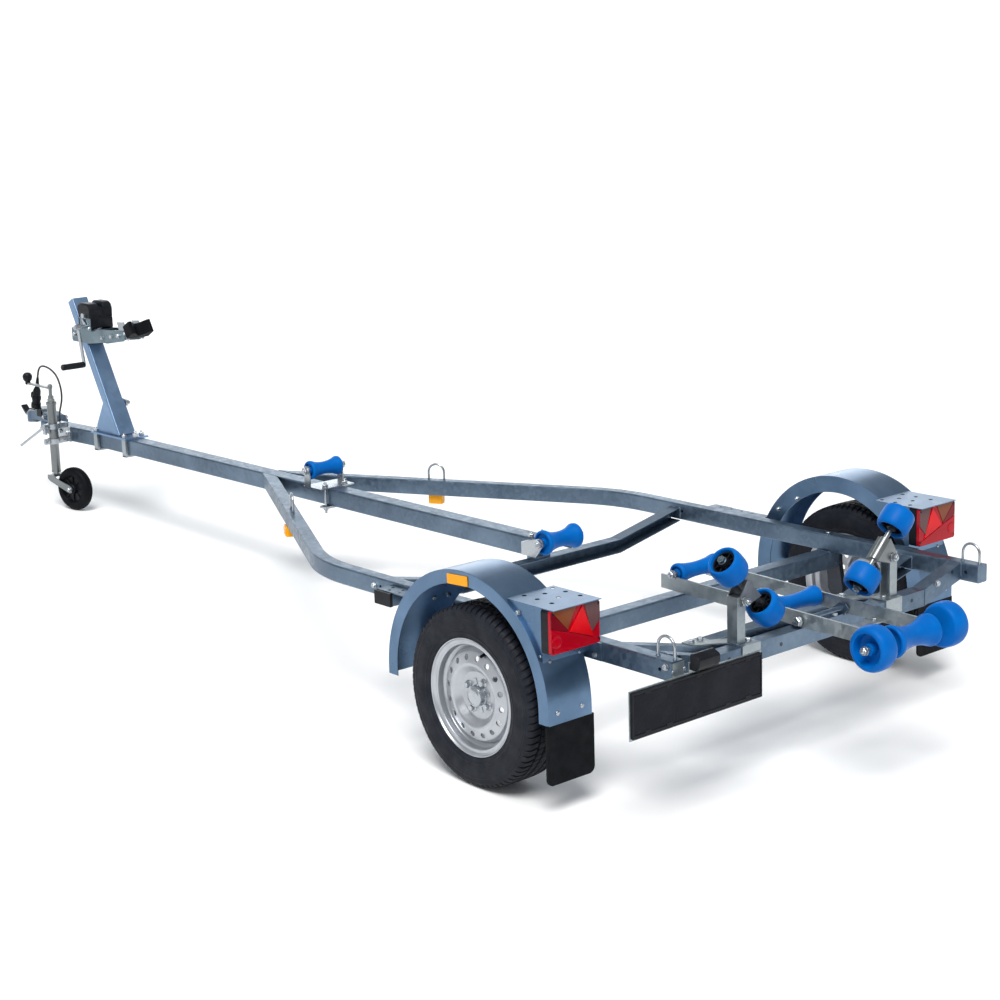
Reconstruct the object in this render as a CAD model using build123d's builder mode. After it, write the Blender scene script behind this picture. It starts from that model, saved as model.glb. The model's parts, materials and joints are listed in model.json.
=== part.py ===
"""Single-axle boat trailer with keel rollers, a tilting stern cradle and wobble rollers.

Everything is drawn in the chassis frame, in millimetres: X across (+X is the
trailer's left side), Y along (drawbar towards -Y, stern towards +Y), Z up,
with the axle line at Y = 0 and the tyres' lowest line at Z = 0.
STANCE then tips the whole trailer nose-down about the axle line, onto its
jockey wheel, and puts the origin under the middle of the finished trailer.
"""
from build123d import *
import math
import os

os.makedirs("parts", exist_ok=True)

# ------------------------------------------------------------------ sizes
WHEEL_Z = 281.0            # axle line above the floor = tyre radius
PITCH = 1.45               # nose-down angle when parked on the jockey wheel
Y_SHIFT = 1737.91          # brings the middle of the trailer to Y = 0
STANCE = Location((0, Y_SHIFT, WHEEL_Z)) * Location((0, 0, 0), (PITCH, 0, 0)) * Location((0, 0, -WHEEL_Z))

TYRE_R, TYRE_W, TRACK_X = 281.0, 170.0, 872.0
RIM_R, SEAT_R, RIM_W = 182.5, 165.0, 154.0
STUB_R, STUB_FIT = 16.0, 0.05

RAIL_W, RAIL_Z0, RAIL_Z1 = 50.0, 420.0, 480.0
RAIL_X = 713.0             # centre line of the straight part
RAIL_BEND_Y, RAIL_ANGLE, RAIL_BEND_R = -1040.0, 28.0, 575.0
RAIL_END_Y = 632.0
WALL = 3.0

KEEL_W, KEEL_Z0, KEEL_Z1 = 75.0, 411.0, 480.0
KEEL_BACK, KEEL_CRANK, KEEL_FRONT, KEEL_DROP = -720.0, -3680.0, -4200.0, 12.0

BEAM = 60.0                # axle beam, square
BEAM_Y = -12.0

ARCH_Y, ARCH_Z, ARCH_R, LIP = -25.0, 299.0, 368.0, 43.0
ARCH_X0, ARCH_X1 = 775.0, 945.0
STEP_X0, STEP_X1 = 746.0, 934.0
STEP_Z, STEP_Y1 = 617.0, 362.0

JOCKEY_X, JOCKEY_Y = 100.0, -3970.0
JOCKEY_TRAIL, JOCKEY_R, JOCKEY_YAW = 120.0, 100.0, 13.0

POST_LEAN = 29.4           # winch post leans forward
DRUM_Y, DRUM_Z = -3681.0, 1018.0
CRANK_Y, CRANK_Z = -3665.0, 972.0
BLOCK_Y, BLOCK_Z = -3322.0, 983.0     # bow stop, leaning like the post

CRADLE_Y, CRADLE_Z = 560.0, 452.0      # cradle pivot
CRADLE_X, CRADLE_T = 105.0, 8.0        # bar centre and thickness

SHAFT_X, SHAFT_Y, SHAFT_Z, SHAFT_TILT = 309.5, 529.0, 590.5, 44.0    # middle of a wobble shaft
PIVOT_X, PIVOT_Z = 347.0, 562.0                                      # its rocker's pivot
WOBBLE_REACH, WOBBLE_R, WOBBLE_W = 113.0, 54.0, 75.0

CABLE_R = 4.5
CABLE = (                  # drawbar grommet to plug boot: x, y, z
    (18, -4050, 480), (22, -4044, 518), (33, -4005, 560), (43, -3969, 603), (49, -3960, 655),
    (50, -3985, 706), (50, -4032, 732), (50, -4084, 743.5), (50, -4133, 742.2), (50, -4163.5, 718.8),
    (50, -4173.4, 681.7),
)

hub_y = JOCKEY_Y + JOCKEY_TRAIL * math.cos(math.radians(JOCKEY_YAW))
hub_x = JOCKEY_X - JOCKEY_TRAIL * math.sin(math.radians(JOCKEY_YAW))
_s, _c = math.sin(math.radians(PITCH)), math.cos(math.radians(PITCH))
JOCKEY_HUB_Z = WHEEL_Z + (JOCKEY_R + 0.04 - WHEEL_Z - hub_y * _s) / _c
print("jockey hub", round(hub_x, 2), round(hub_y, 2), round(JOCKEY_HUB_Z, 2))

SIDE = Plane.YZ            # sketches in (Y, Z), extruded towards +X
FRONT = Plane(origin=(0, 0, 0), x_dir=(1, 0, 0), z_dir=(0, -1, 0))   # (X, Z), extruded towards -Y
AXLE = Axis((0, 0, WHEEL_Z), (1, 0, 0))
nodes = {}


# ------------------------------------------------------------- main frame
with BuildPart() as drawbar_beam:
    mid = (KEEL_Z0 + KEEL_Z1) / 2
    with BuildLine(SIDE) as keel_path:
        FilletPolyline((KEEL_BACK, mid), (KEEL_CRANK, mid), (KEEL_FRONT, mid - KEEL_DROP), radius=900)
    with BuildSketch(Plane(origin=keel_path.line @ 0, x_dir=(1, 0, 0), z_dir=keel_path.line % 0)):
        RectangleRounded(KEEL_W, KEEL_Z1 - KEEL_Z0, 7)
    sweep()
    # slanted cut under the front end
    with BuildSketch(SIDE):
        with BuildLine():
            Polyline((-4260, 444), (-4260, 380), (-4060, 380), (-4075, 400), close=True)
        make_face()
    extrude(amount=60, both=True, mode=Mode.SUBTRACT)
nodes["drawbar_beam"] = drawbar_beam

rail_dir = math.radians(RAIL_ANGLE)
rail_start = (RAIL_X - 730 * math.sin(rail_dir) / math.cos(rail_dir) * 2.0, RAIL_BEND_Y - 730 * 2.0)
# x of the centre line at the start is left of the keel, so the end is trimmed against the keel's side
with BuildPart() as rail_left:
    with BuildLine(Plane.XY.offset((RAIL_Z0 + RAIL_Z1) / 2)) as rail_path:
        FilletPolyline(rail_start, (RAIL_X, RAIL_BEND_Y), (RAIL_X, RAIL_END_Y), radius=RAIL_BEND_R)
    with BuildSketch(Plane(origin=rail_path.line @ 0, x_dir=(0, 0, 1), z_dir=rail_path.line % 0)):
        RectangleRounded(RAIL_Z1 - RAIL_Z0, RAIL_W, 6)
    sweep()
    with Locations((KEEL_W / 2 - 600, -2400, 450)):
        Box(1200, 2400, 200, mode=Mode.SUBTRACT)
    # cross bores: y, z
    for bore_y, bore_z in ((-690.0, 452.0), (585.0, 450.0)):
        with Locations(Location((RAIL_X, bore_y, bore_z), (0, 90, 0))):
            Cylinder(6, 80, mode=Mode.SUBTRACT)
nodes["rail_left"] = rail_left

with BuildPart() as rail_right:
    mirror(rail_left.part, about=Plane.YZ)
nodes["rail_right"] = rail_right


# cross members: name, half width of the flat, top z in the flat, top z at the rail, height, y front, y rear, open side
CROSS = (
    ("crossmember_front", 375.0, 402.0, 466.0, 50.0, -750.0, -700.0, "rear"),
    ("crossmember_middle", 375.0, 390.0, 466.0, 50.0, 320.0, 368.0, "rear"),
    ("crossmember_rear", 498.0, 428.0, 480.0, 55.0, 517.0, 567.0, "front"),
)
RAIL_IN = RAIL_X - RAIL_W / 2
for name, flat, z_flat, z_rail, tall, y0, y1, open_side in CROSS:
    with BuildPart() as member:
        with BuildSketch(FRONT.offset(-y1)):
            with BuildLine():
                Polyline((-RAIL_IN, z_rail), (-flat, z_flat), (flat, z_flat), (RAIL_IN, z_rail),
                         (RAIL_IN, z_rail - tall), (flat, z_flat - tall), (-flat, z_flat - tall),
                         (-RAIL_IN, z_rail - tall), close=True)
            make_face()
        extrude(amount=y1 - y0)
        hollow_y = y1 - WALL if open_side == "front" else y1 + 5
        with BuildSketch(FRONT.offset(-hollow_y)):
            with BuildLine():
                Polyline((-RAIL_IN, z_rail - WALL), (-flat, z_flat - WALL), (flat, z_flat - WALL),
                         (RAIL_IN, z_rail - WALL), (RAIL_IN, z_rail - tall + WALL), (flat, z_flat - tall + WALL),
                         (-flat, z_flat - tall + WALL), (-RAIL_IN, z_rail - tall + WALL), close=True)
            make_face()
        extrude(amount=y1 - y0 - WALL + 5, mode=Mode.SUBTRACT)
        if name == "crossmember_front":
            # seat plate for the drawbar's rear end
            with Locations((0, -730, (z_flat + KEEL_Z0) / 2)):
                Box(75, 40, KEEL_Z0 - z_flat)
    nodes[name] = member

with BuildPart() as axle_beam:
    with BuildSketch(Plane(origin=(-738, BEAM_Y, RAIL_Z0 - BEAM / 2), x_dir=(0, 1, 0), z_dir=(1, 0, 0))):
        RectangleRounded(BEAM, BEAM, 6)
    extrude(amount=2 * 738)
nodes["axle_beam"] = axle_beam

# torsion arms with stub axles, fixed in the frame (their small spring travel has no joint)
with BuildPart() as axle_arms:
    for side in (1, -1):
        with BuildSketch(SIDE.offset(side * 738)):
            with BuildLine():
                Polyline((BEAM_Y - 26, RAIL_Z0 - 4), (BEAM_Y + 26, RAIL_Z0 - 4), (BEAM_Y + 28, 370),
                         (32, WHEEL_Z), (-32, WHEEL_Z), (BEAM_Y - 28, 370), close=True)
            make_face()
        extrude(amount=side * 20)
        with Locations(Location((side * 748, 0, WHEEL_Z), (0, 90, 0))):
            Cylinder(32, 20)
        with Locations(Location((side * 782, 0, WHEEL_Z), (0, 90, 0))):
            Cylinder(24, 50)
        with Locations(Location((side * 830, 0, WHEEL_Z), (0, 90, 0))):
            Cylinder(STUB_R, 100)
nodes["axle_arms"] = axle_arms

# ----------------------------------------------------------------- wheels
WHEEL_PLANE = Plane(origin=(0, 0, WHEEL_Z), x_dir=(1, 0, 0), z_dir=(0, -1, 0))
t0, t1 = TRACK_X - TYRE_W / 2, TRACK_X + TYRE_W / 2
r0, r1 = TRACK_X - RIM_W / 2, TRACK_X + RIM_W / 2
with BuildPart() as tyre_left:
    with BuildSketch(WHEEL_PLANE):
        with BuildLine():
            a = Polyline((r1 - 12, SEAT_R), (r1 - 12, 174), (r1 - 8, 180), (r1 - 3, RIM_R), (r1 + 3, RIM_R + 10))
            b = ThreePointArc((r1 + 3, RIM_R + 10), (t1, RIM_R + 42), (t1 - 3, TYRE_R - 17))
            c = ThreePointArc((t1 - 3, TYRE_R - 17), (t1 - 7, TYRE_R - 7), (t1 - 18, TYRE_R - 2))
            d = ThreePointArc((t1 - 18, TYRE_R - 2), (TRACK_X, TYRE_R), (t0 + 18, TYRE_R - 2))
            e = ThreePointArc((t0 + 18, TYRE_R - 2), (t0 + 7, TYRE_R - 7), (t0 + 3, TYRE_R - 17))
            f = ThreePointArc((t0 + 3, TYRE_R - 17), (t0, RIM_R + 42), (r0 - 3, RIM_R + 10))
            g = Polyline((r0 - 3, RIM_R + 10), (r0 + 3, RIM_R), (r0 + 8, 180), (r0 + 12, 174), (r0 + 12, SEAT_R))
            h = Line((r0 + 12, SEAT_R), (r1 - 12, SEAT_R))
        make_face()
    revolve(axis=AXLE)
nodes["tyre_left"] = tyre_left

with BuildPart() as rim_left:
    # barrel with rolled flanges, bead seats and drop centre
    with BuildSketch(WHEEL_PLANE):
        with BuildLine():
            Polyline((r0, RIM_R), (r0 + 3, RIM_R), (r0 + 8, 180), (r0 + 12, 174), (r0 + 12, SEAT_R), (r0 + 28, SEAT_R - 1),
                     (r0 + 38, SEAT_R - 14), (r1 - 44, SEAT_R - 14), (r1 - 34, SEAT_R - 1), (r1 - 12, SEAT_R),
                     (r1 - 12, 174), (r1 - 8, 180), (r1 - 3, RIM_R), (r1, RIM_R))
            FilletPolyline((r1, RIM_R), (r1, 180), (r1 - 5, 177), (r1 - 8.5, 171), (r1 - 8.5, 161.5), (r1 - 31, 160.2),
                           (r1 - 41, 147), (r0 + 35, 147), (r0 + 25, 160.2), (r0 + 8.5, 161.5), (r0 + 8.5, 171),
                           (r0 + 5, 177), (r0, 180), (r0, RIM_R), radius=[1, 4, 6, 3, 6, 8, 8, 6, 3, 6, 4, 1])
        make_face()
    revolve(axis=AXLE)
    # dished disc: crown ring outermost, hub face sunk inside it
    with BuildSketch(WHEEL_PLANE):
        with BuildLine():
            outer = FilletPolyline((r1 - 42, 149), (r1 - 24, 139), (r1 - 11, 97), (r1 - 34, 73), (r1 - 34, 30),
                                   radius=[8, 14, 8])
            inner = FilletPolyline((r1 - 39, 30), (r1 - 39, 75), (r1 - 16.65, 98.3), (r1 - 28.2, 135.6), (r1 - 47, 149),
                                   radius=[13, 9, 3])
            Line(outer @ 1, inner @ 0)
            Line(inner @ 1, outer @ 0)
        make_face()
    revolve(axis=AXLE)
    # hub drum and dust cap
    with BuildSketch(WHEEL_PLANE):
        with BuildLine():
            Polyline((r1 - 39, STUB_R + STUB_FIT), (r1 - 39, 70), (r1 - 49, 70), (r1 - 51, 46), (812, 42),
                     (812, STUB_R + STUB_FIT), close=True)
        make_face()
    revolve(axis=AXLE)
    with BuildSketch(WHEEL_PLANE):
        with BuildLine():
            Polyline((r1 - 42, 0), (r1 - 42, 32), (r1 - 20, 31), (r1 - 16, 26), (r1 - 15, 0), close=True)
        make_face()
    revolve(axis=AXLE)
    # sixteen round vent holes
    with BuildSketch(Plane(origin=(r1, 0, WHEEL_Z), x_dir=(0, 1, 0), z_dir=(1, 0, 0))):
        with PolarLocations(121, 16, start_angle=15.5):
            Circle(9)
    extrude(amount=-44, mode=Mode.SUBTRACT)
nodes["rim_left"] = rim_left

with BuildPart() as tyre_right:
    mirror(tyre_left.part, about=Plane.YZ)
nodes["tyre_right"] = tyre_right
with BuildPart() as rim_right:
    mirror(rim_left.part, about=Plane.YZ)
nodes["rim_right"] = rim_right

# ---------------------------------------------------------------- fenders
SHEET = 2.5
LEG_FRONT, LEG_BACK = 271.0, 274.0


def arch(radius):
    """Arch outline with straight legs, as a closed face in the (Y, Z) plane."""
    Line((ARCH_Y - radius, LEG_FRONT), (ARCH_Y - radius, ARCH_Z))
    ThreePointArc((ARCH_Y - radius, ARCH_Z), (ARCH_Y, ARCH_Z + radius), (ARCH_Y + radius, ARCH_Z))
    Line((ARCH_Y + radius, ARCH_Z), (ARCH_Y + radius, LEG_FRONT))
    Line((ARCH_Y + radius, LEG_FRONT), (ARCH_Y - radius, LEG_FRONT))


with BuildPart() as fender_left:
    # step box over the rear of the arch
    with BuildSketch(SIDE.offset(STEP_X0)):
        with BuildLine():
            Polyline((150, 500), (150, STEP_Z), (310, STEP_Z), (310, 440), (280, 440), close=True)
        make_face()
    extrude(amount=STEP_X1 - STEP_X0)
    with BuildSketch(SIDE.offset(STEP_X0 + SHEET)):
        with BuildLine():
            Polyline((140, 500), (140, STEP_Z - SHEET), (310 - SHEET, STEP_Z - SHEET), (310 - SHEET, 430),
                     (280, 430), close=True)
        make_face()
    extrude(amount=STEP_X1 - STEP_X0 - 2 * SHEET, mode=Mode.SUBTRACT)
    # top plate runs on over the lamp
    with Locations((840, (300 + STEP_Y1) / 2, STEP_Z - SHEET / 2)):
        Box(STEP_X1 - STEP_X0, STEP_Y1 - 300, SHEET)
    # round anti-slip holes in three staggered rows
    with BuildSketch(Plane.XY.offset(STEP_Z + 2)):
        for row_x, row_ys in ((768, (178, 234, 296)), (824, (206, 264)), (880, (178, 234, 296))):
            with Locations(*[(row_x, row_y) for row_y in row_ys]):
                Circle(7.5)
    extrude(amount=-8, mode=Mode.SUBTRACT)
    # clear the box out of the arch
    with BuildSketch(SIDE.offset(700)):
        with BuildLine():
            arch(ARCH_R - 1)
        make_face()
    extrude(amount=300, mode=Mode.SUBTRACT)
    # arch sheet
    with BuildSketch(SIDE.offset(ARCH_X0)):
        with BuildLine():
            arch(ARCH_R)
        make_face()
        with BuildLine():
            arch(ARCH_R - SHEET)
        make_face(mode=Mode.SUBTRACT)
    extrude(amount=ARCH_X1 - ARCH_X0)
    # side lips
    for lip_x, lip in ((ARCH_X0, 58.0), (ARCH_X1 - SHEET, LIP)):
        with BuildSketch(SIDE.offset(lip_x)):
            with BuildLine():
                arch(ARCH_R - 1)
            make_face()
            with BuildLine():
                arch(ARCH_R - lip)
            make_face(mode=Mode.SUBTRACT)
        extrude(amount=SHEET)
nodes["fender_left"] = fender_left
with BuildPart() as fender_right:
    mirror(fender_left.part, about=Plane.YZ)
nodes["fender_right"] = fender_right

# tail lamps hang under the step's rear overhang
LAMP_X0, LAMP_X1, LAMP_Z0, LAMP_Z1, LAMP_Y0, LAMP_Y1 = 744.0, 940.0, 483.0, 614.0, 310.0, 355.0
with BuildPart() as tail_lamp_left:
    with BuildSketch(FRONT.offset(-LAMP_Y1)):
        with Locations(((LAMP_X0 + LAMP_X1) / 2, (LAMP_Z0 + LAMP_Z1) / 2)):
            RectangleRounded(LAMP_X1 - LAMP_X0, LAMP_Z1 - LAMP_Z0, 9)
    extrude(amount=LAMP_Y1 - LAMP_Y0)
nodes["tail_lamp_left"] = tail_lamp_left
with BuildPart() as tail_lamp_right:
    mirror(tail_lamp_left.part, about=Plane.YZ)
nodes["tail_lamp_right"] = tail_lamp_right

with BuildPart() as mudflaps:
    for side in (1, -1):
        with BuildSketch(FRONT.offset(-(ARCH_Y + ARCH_R - SHEET))):
            with Locations((side * 858, 179)):
                Rectangle(187, 182)
            fillet(vertices().sort_by(Axis.Y)[:2], 22)
            with Locations((side * 859, 281)):
                Rectangle(160, 22)
        extrude(amount=7)
nodes["mudflaps"] = mudflaps

with BuildPart() as fender_outriggers:
    # stub tubes that reach out from the rails ahead of each wheel, and fender bracket plates
    for side in (1, -1):
        with Locations((side * (738 + 62 / 2), -590, 446)):
            Box(62, 80, 43)
        with BuildSketch(SIDE.offset(side * 738)):
            with BuildLine():
                Polyline((-450, 425), (-450, 470), (-442, 478), (-323, 478), (-315, 470), (-315, 425), close=True)
            make_face()
        extrude(amount=side * 4)
        with Locations((side * 742, 310, 452)):
            Box(8, 90, 54)
        # drilled strip from the stub tube to the fender
        with Locations((side * 768.9, (-628 - 352.6) / 2, 469)):
            Box(61.8, 628 - 352.6, 3)
        with Locations(*[(side * hole_x, -600 + 52 * i + (hole_x - 755) * 0.6, 469)
                         for hole_x in (757, 784) for i in range(4)]):
            Cylinder(5.5, 12, mode=Mode.SUBTRACT)
nodes["fender_outriggers"] = fender_outriggers

with BuildPart() as outrigger_caps:
    for side in (1, -1):
        with Locations((side * (800 + 5), -590, 446)):
            Box(10, 82, 45)
nodes["outrigger_caps"] = outrigger_caps

# ------------------------------------------------------------ number plate
with BuildPart() as plate_bracket:
    with Locations((668, 661.5, 376)):
        Box(540, 3, 144)
    with Locations((713, 633.5, 450)):
        Box(46, 3, 52)
    with Locations((713, 647.5, 437.5)):
        Box(46, 31, 3)
    with Locations((655, 661.5, 462)):
        Box(90, 3, 30)
nodes["plate_bracket"] = plate_bracket
with BuildPart() as plate_holder:
    with Locations((668, 667.5, 376)):
        Box(532, 9, 136)
nodes["plate_holder"] = plate_holder
with BuildPart() as plate_lamp:
    with BuildSketch(Plane(origin=(610, 0, 0), x_dir=(0, 1, 0), z_dir=(1, 0, 0))):
        with BuildLine():
            Polyline((663, 455), (663, 500), (678, 505), (700, 492), (700, 470), (690, 458), close=True)
        make_face()
    extrude(amount=90)
nodes["plate_lamp"] = plate_lamp

# ------------------------------------------------------------ lashing eyes
# x, y, direction (deg from +Y towards +X)
EYES = ((713.0, 588.0, 0.0), (-713.0, 588.0, 0.0), (353.0, -1717.0, RAIL_ANGLE), (-353.0, -1717.0, -RAIL_ANGLE))
EYE_R, EYE_LEG, EYE_ROD = 33.0, 30.0, 4.5
with BuildPart() as lashing_eyes:
    for eye_x, eye_y, eye_dir in EYES:
        a = math.radians(eye_dir)
        eye_plane = Plane(origin=(eye_x, eye_y, RAIL_Z1), x_dir=(math.sin(a), math.cos(a), 0),
                          z_dir=(math.cos(a), -math.sin(a), 0))
        with BuildLine(eye_plane) as loop:
            Line((-EYE_R, 0), (-EYE_R, EYE_LEG))
            ThreePointArc((-EYE_R, EYE_LEG), (0, EYE_LEG + EYE_R), (EYE_R, EYE_LEG))
            Line((EYE_R, EYE_LEG), (EYE_R, 0))
        with BuildSketch(Plane(origin=loop.line @ 0, z_dir=loop.line % 0)):
            Circle(EYE_ROD)
        sweep(path=loop.line)
nodes["lashing_eyes"] = lashing_eyes

with BuildPart() as side_markers:
    for side in (1, -1):
        a = math.radians(side * RAIL_ANGLE)
        marker = Plane(origin=(side * 349, -1724, RAIL_Z0), x_dir=(math.cos(a), -math.sin(a), 0), z_dir=(0, 0, 1))
        with BuildSketch(marker):
            with Locations((side * 12, 0)):
                RectangleRounded(36, 58, 6)
        extrude(amount=-38)
nodes["side_markers"] = side_markers

# ------------------------------------------------------- coupling and front
BALL_Y, BALL_Z = -4322.0, 462.0
with BuildPart() as coupling_head:
    with BuildSketch(SIDE):
        with BuildLine():
            Polyline((-4320, 462), (-4320, 496), (-4290, 506), (-4230, 511), (-4150, 512), (-4100, 502), (-4075, 484),
                     (-4075, 474), (-4195, 471), close=True)
        make_face()
    extrude(amount=31, both=True)
    # mounting flange on the drawbar's top
    with BuildSketch(SIDE):
        with BuildLine():
            Polyline((-4195, 460), (-4195, 480), (-4070, 483), (-4070, 460), close=True)
        make_face()
    extrude(amount=37, both=True)
    with Locations((0, BALL_Y, (448 + 496) / 2)):
        Cylinder(36, 496 - 448)
    with Locations((0, BALL_Y, BALL_Z)):
        Sphere(25.4, mode=Mode.SUBTRACT)
    with Locations((0, BALL_Y, BALL_Z - 20)):
        Cylinder(25.4, 40, mode=Mode.SUBTRACT)
    # the flange is cut back to the drawbar's top face
    with BuildSketch(SIDE):
        with BuildLine():
            Polyline((KEEL_CRANK, KEEL_Z1 + 0.03), (KEEL_FRONT, KEEL_Z1 - KEEL_DROP + 0.03), (KEEL_FRONT, 380),
                     (KEEL_CRANK, 380), close=True)
        make_face()
    extrude(amount=60, both=True, mode=Mode.SUBTRACT)
nodes["coupling_head"] = coupling_head

with BuildPart() as coupling_handle:
    # lever that runs forward over the head and turns up at its tip
    with BuildSketch(SIDE):
        with BuildLine():
            Polyline((-4240, 507), (-4240, 519), (-4300, 516), (-4352, 502), (-4376, 487), (-4388, 489), (-4421, 512),
                     (-4427, 506), (-4392, 474), (-4376, 472), (-4362, 482), (-4320, 497), close=True)
        make_face()
    extrude(amount=13, both=True)
    with BuildSketch(SIDE):
        with BuildLine():
            Polyline((-4268, 508), (-4268, 524), (-4240, 530), (-4208, 522), (-4208, 508), close=True)
        make_face()
    extrude(amount=20, both=True)
    with BuildSketch(SIDE):
        with BuildLine():
            Polyline((-4320, 380), (-4320, 496), (-4290, 506), (-4230, 511), (-4150, 512), (-4150, 380), close=True)
        make_face()
    extrude(amount=31, both=True, mode=Mode.SUBTRACT)
    with Locations((0, BALL_Y, 440)):
        Cylinder(36.02, 112, mode=Mode.SUBTRACT)
nodes["coupling_handle"] = coupling_handle

with BuildPart() as jockey_clamp:
    # two split rings round the jockey tube on one plate bolted to the drawbar
    with Locations((KEEL_W / 2 + 3, JOCKEY_Y, 440)):
        Box(6, 110, 70)
    for ring_z in (482.0, 412.0):
        with BuildSketch(Plane.XY.offset(ring_z - 12)):
            with Locations((JOCKEY_X, JOCKEY_Y)):
                Circle(28.5)
            with Locations(((KEEL_W / 2 + JOCKEY_X) / 2, JOCKEY_Y)):
                Rectangle(JOCKEY_X - KEEL_W / 2, 34)
            with Locations((JOCKEY_X + 36, JOCKEY_Y)):
                Rectangle(26, 16)
            with Locations((JOCKEY_X, JOCKEY_Y)):
                Circle(21.3, mode=Mode.SUBTRACT)
        extrude(amount=24)
    with Locations((KEEL_W / 2 + 3, JOCKEY_Y, 482)):
        Box(6, 60, 24)
    # clamp screw with its long bar handle
    with Locations((JOCKEY_X + 43, JOCKEY_Y, 470)):
        Box(10, 24, 44)
    lever_from = Vector(143, -3995, 472)
    lever_to = Vector(175, -4150, 378)
    with BuildSketch(Plane(origin=lever_from, z_dir=lever_to - lever_from)):
        Circle(6)
    extrude(amount=(lever_to - lever_from).length)
    with Locations((JOCKEY_X + 43, JOCKEY_Y - 18, 474)):
        Box(14, 26, 16)
nodes["jockey_clamp"] = jockey_clamp

TUBE_Z0, TUBE_Z1 = 264.0, 596.0
with BuildPart() as jockey_tube:
    with BuildSketch(Plane.XY.offset(TUBE_Z0)):
        with Locations((JOCKEY_X, JOCKEY_Y)):
            Circle(21)
            Circle(18, mode=Mode.SUBTRACT)
    extrude(amount=TUBE_Z1 - 14 - TUBE_Z0)
    with Locations((JOCKEY_X, JOCKEY_Y, TUBE_Z1 - 7)):
        Cylinder(23, 14)
    with Locations((JOCKEY_X, JOCKEY_Y, (TUBE_Z1 + 668) / 2)):
        Cylinder(8, 668 - TUBE_Z1)
    with Locations((JOCKEY_X, JOCKEY_Y, 610)):
        Cylinder(13, 30)
    with Locations((JOCKEY_X, -4075, 661)):
        Box(16, 224, 8)
    with Locations((JOCKEY_X, -4179, 668)):
        Cylinder(11, 24)
    with Locations((JOCKEY_X, -4179, 690)):
        Sphere(21)
nodes["jockey_tube"] = jockey_tube

FORK = Plane(origin=(JOCKEY_X, JOCKEY_Y, 0), x_dir=(math.cos(math.radians(JOCKEY_YAW)),
             math.sin(math.radians(JOCKEY_YAW)), 0), z_dir=(0, 0, 1))
FORK_SIDE = Plane(origin=(JOCKEY_X, JOCKEY_Y, 0), x_dir=FORK.y_dir, z_dir=FORK.x_dir)
HUB = JOCKEY_HUB_Z
CROWN = HUB + 50.0
with BuildPart() as jockey_stem:
    with Locations((JOCKEY_X, JOCKEY_Y, (CROWN + 8.3 + 560) / 2)):
        Cylinder(14.5, 560 - CROWN - 8.3)
nodes["jockey_stem"] = jockey_stem

with BuildPart() as jockey_fork:
    with BuildSketch(FORK.offset(CROWN)):
        Circle(25)
        with Locations((0, 4)):
            Rectangle(72, 36)
    extrude(amount=8)
    for cheek_x in (-36.0, 31.0):
        with BuildSketch(FORK_SIDE.offset(cheek_x)):
            with BuildLine():
                Polyline((-22, CROWN + 8), (22, CROWN + 8), (30, CROWN - 5), (JOCKEY_TRAIL + 6, HUB + 17),
                         (JOCKEY_TRAIL + 17, HUB + 4), (JOCKEY_TRAIL + 14, HUB - 12), (JOCKEY_TRAIL, HUB - 17),
                         (JOCKEY_TRAIL - 14, HUB - 13), (-8, CROWN - 22), (-22, CROWN - 10), close=True)
            make_face()
        extrude(amount=5)
    # wheel bolt
    with BuildSketch(FORK_SIDE.offset(-42)):
        with Locations((JOCKEY_TRAIL, HUB)):
            Circle(6)
    extrude(amount=84)
nodes["jockey_fork"] = jockey_fork

with BuildPart() as jockey_wheel:
    with BuildSketch(Plane(origin=FORK.from_local_coords((0, JOCKEY_TRAIL, HUB)), x_dir=FORK.x_dir, z_dir=(0, 0, 1))):
        with BuildLine():
            w = 25.0
            l1 = Line((-w, 30), (-w, 84))
            l2 = ThreePointArc((-w, 84), (-w + 6, JOCKEY_R - 5), (-w + 18, JOCKEY_R))
            l3 = Line((-w + 18, JOCKEY_R), (w - 18, JOCKEY_R))
            l4 = ThreePointArc((w - 18, JOCKEY_R), (w - 6, JOCKEY_R - 5), (w, 84))
            l5 = Polyline((w, 84), (w, 30), (w + 4, 26), (w + 4, 6.05), (-w - 4, 6.05), (-w - 4, 26), (-w, 30))
        make_face()
    revolve(axis=Axis(FORK.from_local_coords((0, JOCKEY_TRAIL, HUB)), FORK.x_dir))
nodes["jockey_wheel"] = jockey_wheel

# --------------------------------------------------------------- winch post
POST_Y, POST_Z = -3513.0, 506.0        # rear foot of the leaning post
lean = math.radians(POST_LEAN)
post_up = Vector(0, -math.sin(lean), math.cos(lean))
post_back = Vector(0, math.cos(lean), math.sin(lean))
POST = Plane(origin=(0, POST_Y, POST_Z), x_dir=(1, 0, 0), z_dir=tuple(post_up))
with BuildPart() as winch_post:
    # post tube, its lower sleeve, foot plate and front gusset
    with BuildSketch(POST.offset(-30)):
        RectangleRounded(80, 48, 5)
    extrude(amount=650 + 30)
    with BuildSketch(POST.offset(-30)):
        RectangleRounded(88, 56, 6)
    extrude(amount=30 + 140)
    with Locations((0, -3545, 484)):
        Box(120, 300, 8)
    for gusset_x in (-42.0, 37.0):
        with BuildSketch(SIDE.offset(gusset_x)):
            with BuildLine():
                Polyline((-3668, 484), (-3663, 520), (-3590, 640), (-3572, 640), (-3530, 484), close=True)
            make_face()
        extrude(amount=5)
    with Locations((0, -3560, 470)):
        Box(200, 600, 20, mode=Mode.SUBTRACT)
    # U-bolts that hold the foot to the drawbar: leg x, y
    for bolt_y in (-3674.0, -3430.0):
        with Locations((45, bolt_y, 448), (-45, bolt_y, 448)):
            Cylinder(5, 96)
        with Locations((0, bolt_y, 403)):
            Box(100, 24, 6)
        with Locations((45, bolt_y, 493), (-45, bolt_y, 493)):
            Cylinder(9, 10)
nodes["winch_post"] = winch_post

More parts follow.
